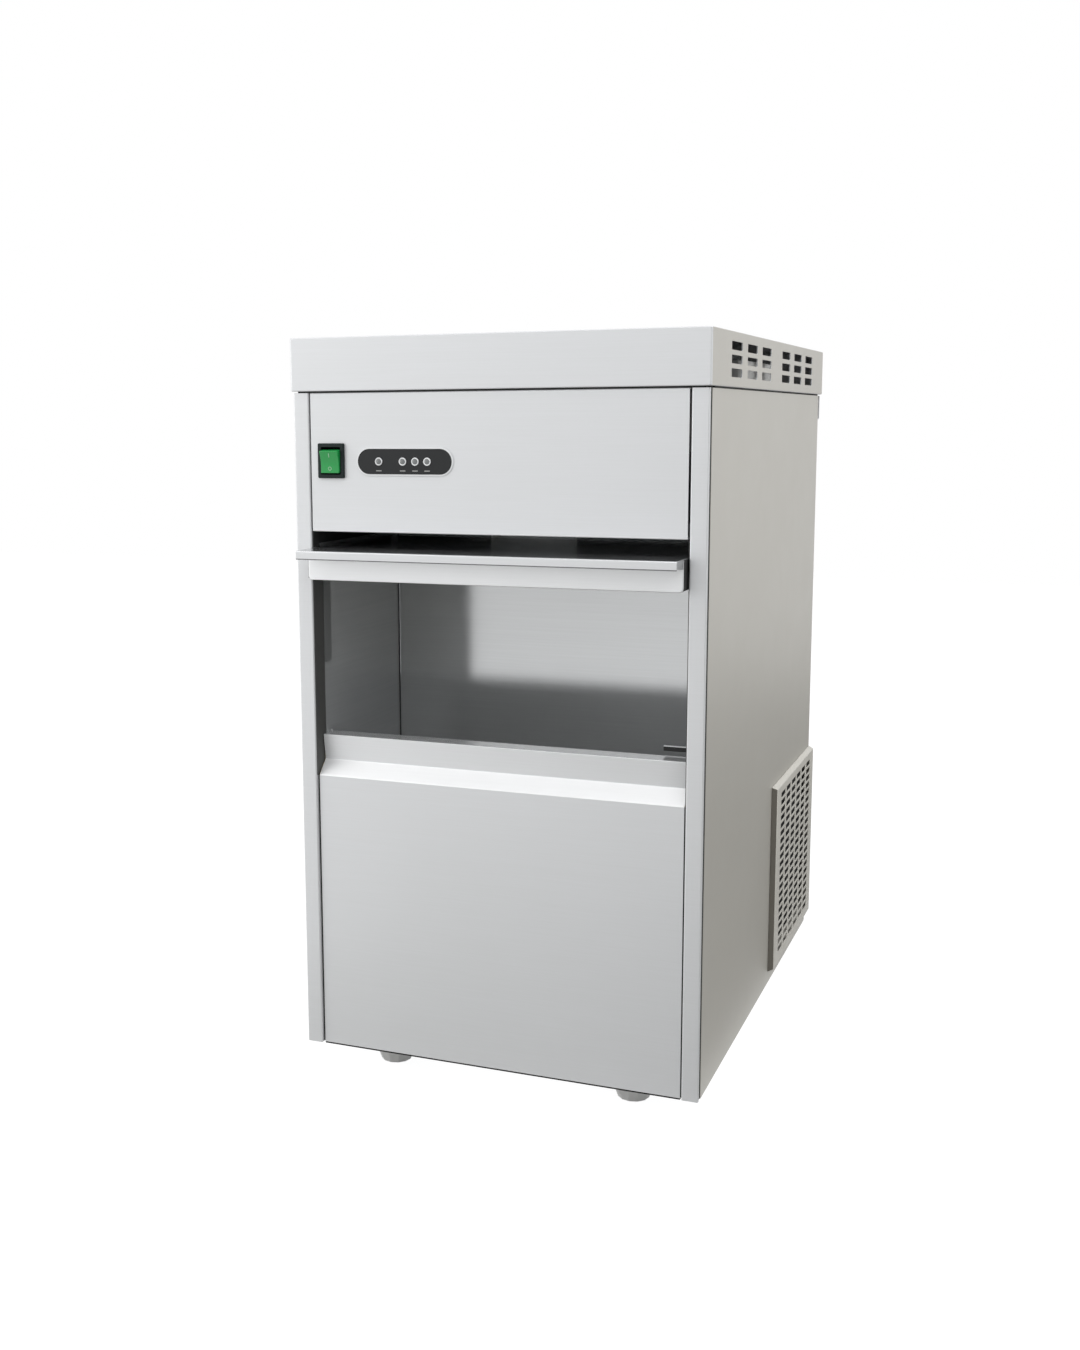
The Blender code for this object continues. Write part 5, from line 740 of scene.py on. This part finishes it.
# The strips on the posts' returns take the dark grey painted shade; all the others are black.
for name, low, high in seal_blocks:
    paint = post_shade_grey if name.endswith("post_shade_strip") else black_seal_and_shade
    fit(slab(name, low, high), "cabinet", "black_plastic", paint)
for hand, side in hands:
    near_x, far_x = across(side, door_half - 2 * hair, door_half + 4 * hair)
    fit(slab(f"{hand}_door_end_strip", (near_x, tray_low.y + gauge, tray_low.z + door_strip_foot),
             (far_x, tray_high.y, door_high.z - gauge)), "door", "black_plastic", black_seal_and_shade)


# Display: a dark moulded pill with a thin pale edge, snapped into the fascia, with four grey lamps
# in pale rings and a plain grey bar printed under each lamp.
def pill(name, low, high, inset, start, end):
    """Stadium between two corners of the front, narrowed all round by inset."""
    radius = (high.z - low.z) / 2 - inset
    mid_z = (low.z + high.z) / 2
    outline = arc((low.x + inset + radius, mid_z), radius, 90, 270, 16)
    outline += arc((high.x - inset - radius, mid_z), radius, -90, 90, 16)
    return extruded(name, outline, "Y", start, end)


display_black = moulded("dark display film", ((0.024, 0.025, 0.026), (0.019, 0.020, 0.021)), (0.5, 0.62),
                        mirror=0.25)
edge_white = moulded("pale plastic edge", ((0.86, 0.87, 0.88), (0.80, 0.81, 0.82)), (0.3, 0.45))
lamp_grey = moulded("grey lamp lens", ((0.19, 0.20, 0.20), (0.14, 0.15, 0.15)), (0.10, 0.2), coat=0.5)
film_wall, film_inset, film_break, body_inset = 0.0006, 0.0014, 0.00012, 0.0051
edge = pill("display_edge", display_low, display_high, 0, display_low.y + film_wall / 2, front_y - 2 * hair)
punch(edge, pill("display_body", display_low, display_high, body_inset, front_y - film_wall, display_high.y),
      "UNION")
soften(edge, plastic_break, segments=2)
fit(edge, "cabinet", "display_plastic", edge_white, "display_bezel")
film = pill("display_film", display_low, display_high, film_inset, display_low.y, display_low.y + film_wall)
soften(film, film_break, segments=2)
fit(film, "cabinet", "display_plastic", display_black)
lamp_places, lamp_radius, lamp_flatness = [], 0.0026, 0.3
for number in range(1, 5):
    lens_low, lens_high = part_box(f"indicator_lens_{number}")
    lens_mid = (lens_low + lens_high) / 2
    lamp_places.append(lens_mid.x)
    clear_selection()
    bpy.ops.mesh.primitive_uv_sphere_add(segments=24, ring_count=12, radius=lamp_radius,
                                         location=(lens_mid.x, display_low.y, lens_mid.z))
    dome = bpy.context.object
    dome.scale = (1, lamp_flatness, 1)
    bpy.ops.object.transform_apply()
    dome.name = f"lamp_dome_{number}"
    smooth(dome, 60)
    fit(dome, "cabinet", "lamp_lens", lamp_grey, f"indicator_lens_{number}")
clear_selection()
ring_radius, ring_wire, display_middle = 0.0030, 0.0006, (display_low.z + display_high.z) / 2
bpy.ops.mesh.primitive_torus_add(major_segments=28, minor_segments=8, major_radius=ring_radius,
                                 minor_radius=ring_wire, rotation=(pi / 2, 0, 0),
                                 location=(0, display_low.y - hair, display_middle))
bpy.ops.object.transform_apply()
rings = copies(bpy.context.object, [(x, 0, 0) for x in lamp_places])
rings.name = "lamp_rings"
smooth(rings, 60)
fit(rings, "cabinet", "lamp_lens", edge_white)
caption_low, caption_high, print_depth = 0.5675, 0.5683, 0.00006
bar = slab("caption_bar", (-lamp_radius, display_low.y - print_depth, caption_low),
           (lamp_radius, display_low.y + hair, caption_high))
bars = copies(bar, [(x, 0, 0) for x in lamp_places])
bars.name = "caption_bars"
fit(bars, "cabinet", "display_plastic",
    moulded("grey caption print", ((0.42, 0.42, 0.41), (0.34, 0.34, 0.33)), (0.5, 0.6)))

# Air grilles: moulded panels with a raised frame, set into the side skins. Their short slots lie in
# six columns and slope down to the inside; the frame's front wall carries painted shade in a darker
# brown-grey.
grille_cream = moulded("cream grille plastic", ((0.70, 0.68, 0.625), (0.65, 0.63, 0.575)), (0.35, 0.5))
grille_wall_shade = moulded("painted grille wall shade", ((0.15, 0.14, 0.12), (0.13, 0.12, 0.10)), (0.5, 0.65))
grille_proud, bevel, bevel_round = 0.006, 0.0025, 0.0012
face_wall, shade_reach, plug_depth, plug_wall = 0.0009, 0.003, 0.003, 0.002
slot_columns, slot_step, slot_rows, slot_rise = 6, 0.030, 21, 0.0084
slot_length, slot_height, slot_drop = 0.024, 0.0056, 0.0018
for hand, side in hands:
    out_x, plug_x = side * (half_width + grille_proud), side * (half_width - gauge - plug_depth)
    mid, span = (grille_low + grille_high) / 2, grille_high - grille_low
    panel = window(f"{hand}_louvres", grille_low, grille_high, 0, side * (half_width + clearance), out_x,
                   axis=0)
    pick(panel, "faces", lambda face: face.normal.x * side > 0.9)
    bpy.ops.transform.resize(value=(1, 1 - 2 * bevel / span.y, 1 - 2 * bevel / span.z),
                             center_override=(out_x, mid.y, mid.z))
    bpy.ops.object.mode_set(mode="OBJECT")
    round_edges(panel, lambda edge: abs(middle(edge).x - out_x) < touch, bevel_round, 3)
    punch(panel, window("plug", grille_low, grille_high, plug_inset, plug_x, out_x - side * grille_proud / 2,
                        axis=0), "UNION")
    punch(panel, window("hollow", grille_low, grille_high, plug_inset + plug_wall, plug_x - side * gauge,
                        out_x - side * face_wall, axis=0))
    inner, outer = sorted((plug_x - side * gauge, out_x + side * gauge))
    slot = slab("slot", (inner, -slot_length / 2, -slot_height / 2),
                (outer, slot_length / 2, slot_height / 2))
    pick(slot, "faces", lambda face: face.normal.x * side > 0.9)
    bpy.ops.transform.translate(value=(0, 0, slot_drop))
    bpy.ops.object.mode_set(mode="OBJECT")
    places = [(0, mid.y + (column - (slot_columns - 1) / 2) * slot_step,
               mid.z + (row - (slot_rows - 1) / 2) * slot_rise)
              for column in range(slot_columns) for row in range(slot_rows)]
    punch(panel, copies(slot, places))
    soften(panel, plastic_break)
    fit(panel, "cabinet", "grille_plastic", grille_cream, f"{hand}_grille")
    # The frame's front wall takes the darker brown-grey: painted shade.
    paint_faces(panel, grille_wall_shade,
                lambda face: face.normal.y < -0.8 and face.calc_center_median().y < grille_low.y + shade_reach)

# Probe: the ice sensor's slim moulded arm on the bin's right wall, with a thin bright steel plate
# on top.
probe_low, probe_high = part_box("bin_probe")
arm_height, arm_round, plate_width, plate_wall, plate_round = 0.0040, 0.0004, 0.0030, 0.0006, 0.0002
arm = slab("probe_arm", (probe_low.x, probe_low.y, probe_high.z - arm_height), probe_high)
soften(arm, arm_round, segments=2)
fit(arm, "cabinet", "black_plastic", black_seal_and_shade, "bin_probe")
plate = slab("probe_plate", (probe_low.x, probe_low.y - clearance, probe_high.z),
             (bin_half - clearance, probe_low.y + plate_width, probe_high.z + plate_wall))
soften(plate, plate_round, segments=2)
fit(plate, "cabinet", "brushed_liner", satin_steel)

# Feet: tapered twelve-sided cups of grey plastic, each with a collar and a stud that screws through
# the base pan. Cup, collar and stud are one piece here.
foot_grey = moulded("grey foot plastic", ((0.86, 0.86, 0.85), (0.78, 0.78, 0.77)), (0.4, 0.55))
cup_height, cup_round, foot_radius, cup_radius, collar_height = 0.018, 0.0007, 0.0145, 0.021, 0.0067
stud_radius, stud_length, stud_middle = 0.004, 0.022, 0.032
for name in ("front_left", "front_right", "rear_left", "rear_right"):
    low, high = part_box(f"{name}_foot")
    mid = (low + high) / 2
    clear_selection()
    bpy.ops.mesh.primitive_cone_add(vertices=12, radius1=foot_radius, radius2=cup_radius, depth=cup_height,
                                    location=(mid.x, mid.y, cup_height / 2))
    cup = bpy.context.object
    cup.name = f"{name}_cup"
    bpy.ops.object.transform_apply()
    pick(cup, "faces", lambda face: face.normal.z > 0.9)
    bpy.ops.mesh.extrude_region_move(TRANSFORM_OT_translate={"value": (0, 0, collar_height)})
    bpy.ops.object.mode_set(mode="OBJECT")
    clear_selection()
    bpy.ops.mesh.primitive_cylinder_add(vertices=20, radius=stud_radius, depth=stud_length,
                                        location=(mid.x, mid.y, stud_middle))
    punch(cup, bpy.context.object, "UNION")
    soften(cup, cup_round, segments=3, angle=25)
    fit(cup, f"{name}_leveller", "grey_plastic", foot_grey, f"{name}_foot")

# Rear skin: one sheet, stepped out under the cap, with holes for the water inlet, the drain hose
# and the mains inlet, held by pan-head screws.
rear_low, rear_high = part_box("rear_panel")
step_height, socket_inset = 0.026, 0.0022
step_z, skin_y = post_top - step_height, rear_low.y + gauge
back = bent_sheet("rear_skin", ((rear_high.y, rear_high.z), (rear_high.y, step_z), (skin_y, step_z),
                                (skin_y, rear_low.z)), "X", rear_low.x, rear_high.x)
socket_low, socket_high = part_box("power_inlet")
punch(back, window("socket_hole", socket_low, socket_high, socket_inset, skin_y - past, skin_y + past))
inlet_hole, drain_hole = (0.118, 0.536, 0.0103), (0.030, 0.071, 0.0088)
for x, z, radius in (inlet_hole, drain_hole):
    clear_selection()
    bpy.ops.mesh.primitive_cylinder_add(vertices=40, radius=radius, depth=2 * past, rotation=(pi / 2, 0, 0),
                                        location=(x, skin_y, z))
    punch(back, bpy.context.object)
soften(back)
fit(back, "cabinet", "satin_steel", satin_steel, "rear_panel")
clear_selection()
screw_radius, screw_flatness, screw_inset, screw_start, screw_step = 0.0034, 0.42, 0.007, 0.045, 0.18
cross_reach, cross_floor, cross_half = 0.0019, 0.0007, 0.0003
bpy.ops.mesh.primitive_uv_sphere_add(segments=20, ring_count=10, radius=screw_radius)
screw = bpy.context.object
screw.scale = (1, screw_flatness, 1)
bpy.ops.object.transform_apply()
for wide, tall in ((cross_reach, cross_half), (cross_half, cross_reach)):
    punch(screw, slab("cross_slot", (-wide, cross_floor, -tall), (wide, screw_radius, tall)))
screws = copies(screw, [(x, skin_y, screw_start + screw_step * row)
                        for x in (rear_low.x + screw_inset, rear_high.x - screw_inset) for row in range(4)])
screws.name = "rear_screws"
smooth(screws, 40)
bright_steel = sheet_finish("bright steel", (0.66, 0.67, 0.68), (0.55, 0.56, 0.57), (0.22, 0.34), 1.0)
fit(screws, "cabinet", "brushed_liner", bright_steel)

# Works: the parts inside keep their solids and get their finishes here. Their sheets are galvanised,
# the barrel, auger, flap and door axle are bright steel, and the refrigerant's lines and drier copper.
galvanised = sheet_finish("galvanised steel", (0.50, 0.52, 0.54), (0.38, 0.40, 0.42), (0.42, 0.60), 0.85,
                          stretch=(60, 60, 60))
bare_metal = sheet_finish("bare aluminium", (0.70, 0.71, 0.72), (0.58, 0.59, 0.60), (0.3, 0.42), 1.0,
                          stretch=(40, 900, 900))
copper = sheet_finish("copper tube", (0.80, 0.37, 0.22), (0.58, 0.24, 0.13), (0.25, 0.42), 1.0,
                      stretch=(90, 90, 90))
black_paint = moulded("black paint", ((0.017, 0.017, 0.019), (0.011, 0.011, 0.012)), (0.25, 0.4), coat=0.2)
white_plastic = moulded("white moulded plastic", ((0.80, 0.80, 0.77), (0.74, 0.74, 0.71)), (0.3, 0.45))
tank_white = moulded("white water tank", ((0.93, 0.93, 0.91), (0.88, 0.88, 0.86)), (0.3, 0.45))
guide_grey = moulded("grey guide plastic", ((0.20, 0.205, 0.205), (0.165, 0.17, 0.17)), (0.4, 0.55))
soft_hose = moulded("milky hose", ((0.70, 0.73, 0.72), (0.60, 0.63, 0.62)), (0.2, 0.35), coat=0.2)
yellow_foam = moulded("poured foam", ((0.78, 0.67, 0.40), (0.66, 0.54, 0.30)), (0.8, 0.95), bump=0.6)
white_foam = moulded("white foam sleeve", ((0.80, 0.80, 0.78), (0.70, 0.70, 0.68)), (0.8, 0.95), bump=0.6)
finishes = (
    (galvanised, ("base_pan", "bin_ceiling", "divider_panel", "top_deck", "fan_shroud")),
    (bright_steel, ("auger", "chute_flap", "door_axle", "evaporator_barrel")),
    (bare_metal, ("condenser", "drive_coupling")),
    (copper, ("discharge_line", "suction_line", "liquid_line", "filter_drier")),
    (black_paint, ("compressor", "gear_motor", "fan_motor")),
    (black_plastic, ("power_inlet", "fan_blade", "float_arm")),
    (white_plastic, ("ice_chute", "outlet_head", "inlet_valve")),
    (tank_white, ("water_reservoir",)),
    (guide_grey, ("left_door_guide", "right_door_guide", "door_hinge_bar", "control_box")),
    (soft_hose, ("fill_tube", "supply_tube", "drain_hose")),
    (yellow_foam, ("bin_insulation", "door_core")),
    (white_foam, ("evaporator_jacket",)))
for paint, names in finishes:
    for name in names:
        for place in cad[name].material_slots:
            place.material = paint
        if not cad[name].material_slots:
            cad[name].data.materials.append(paint)
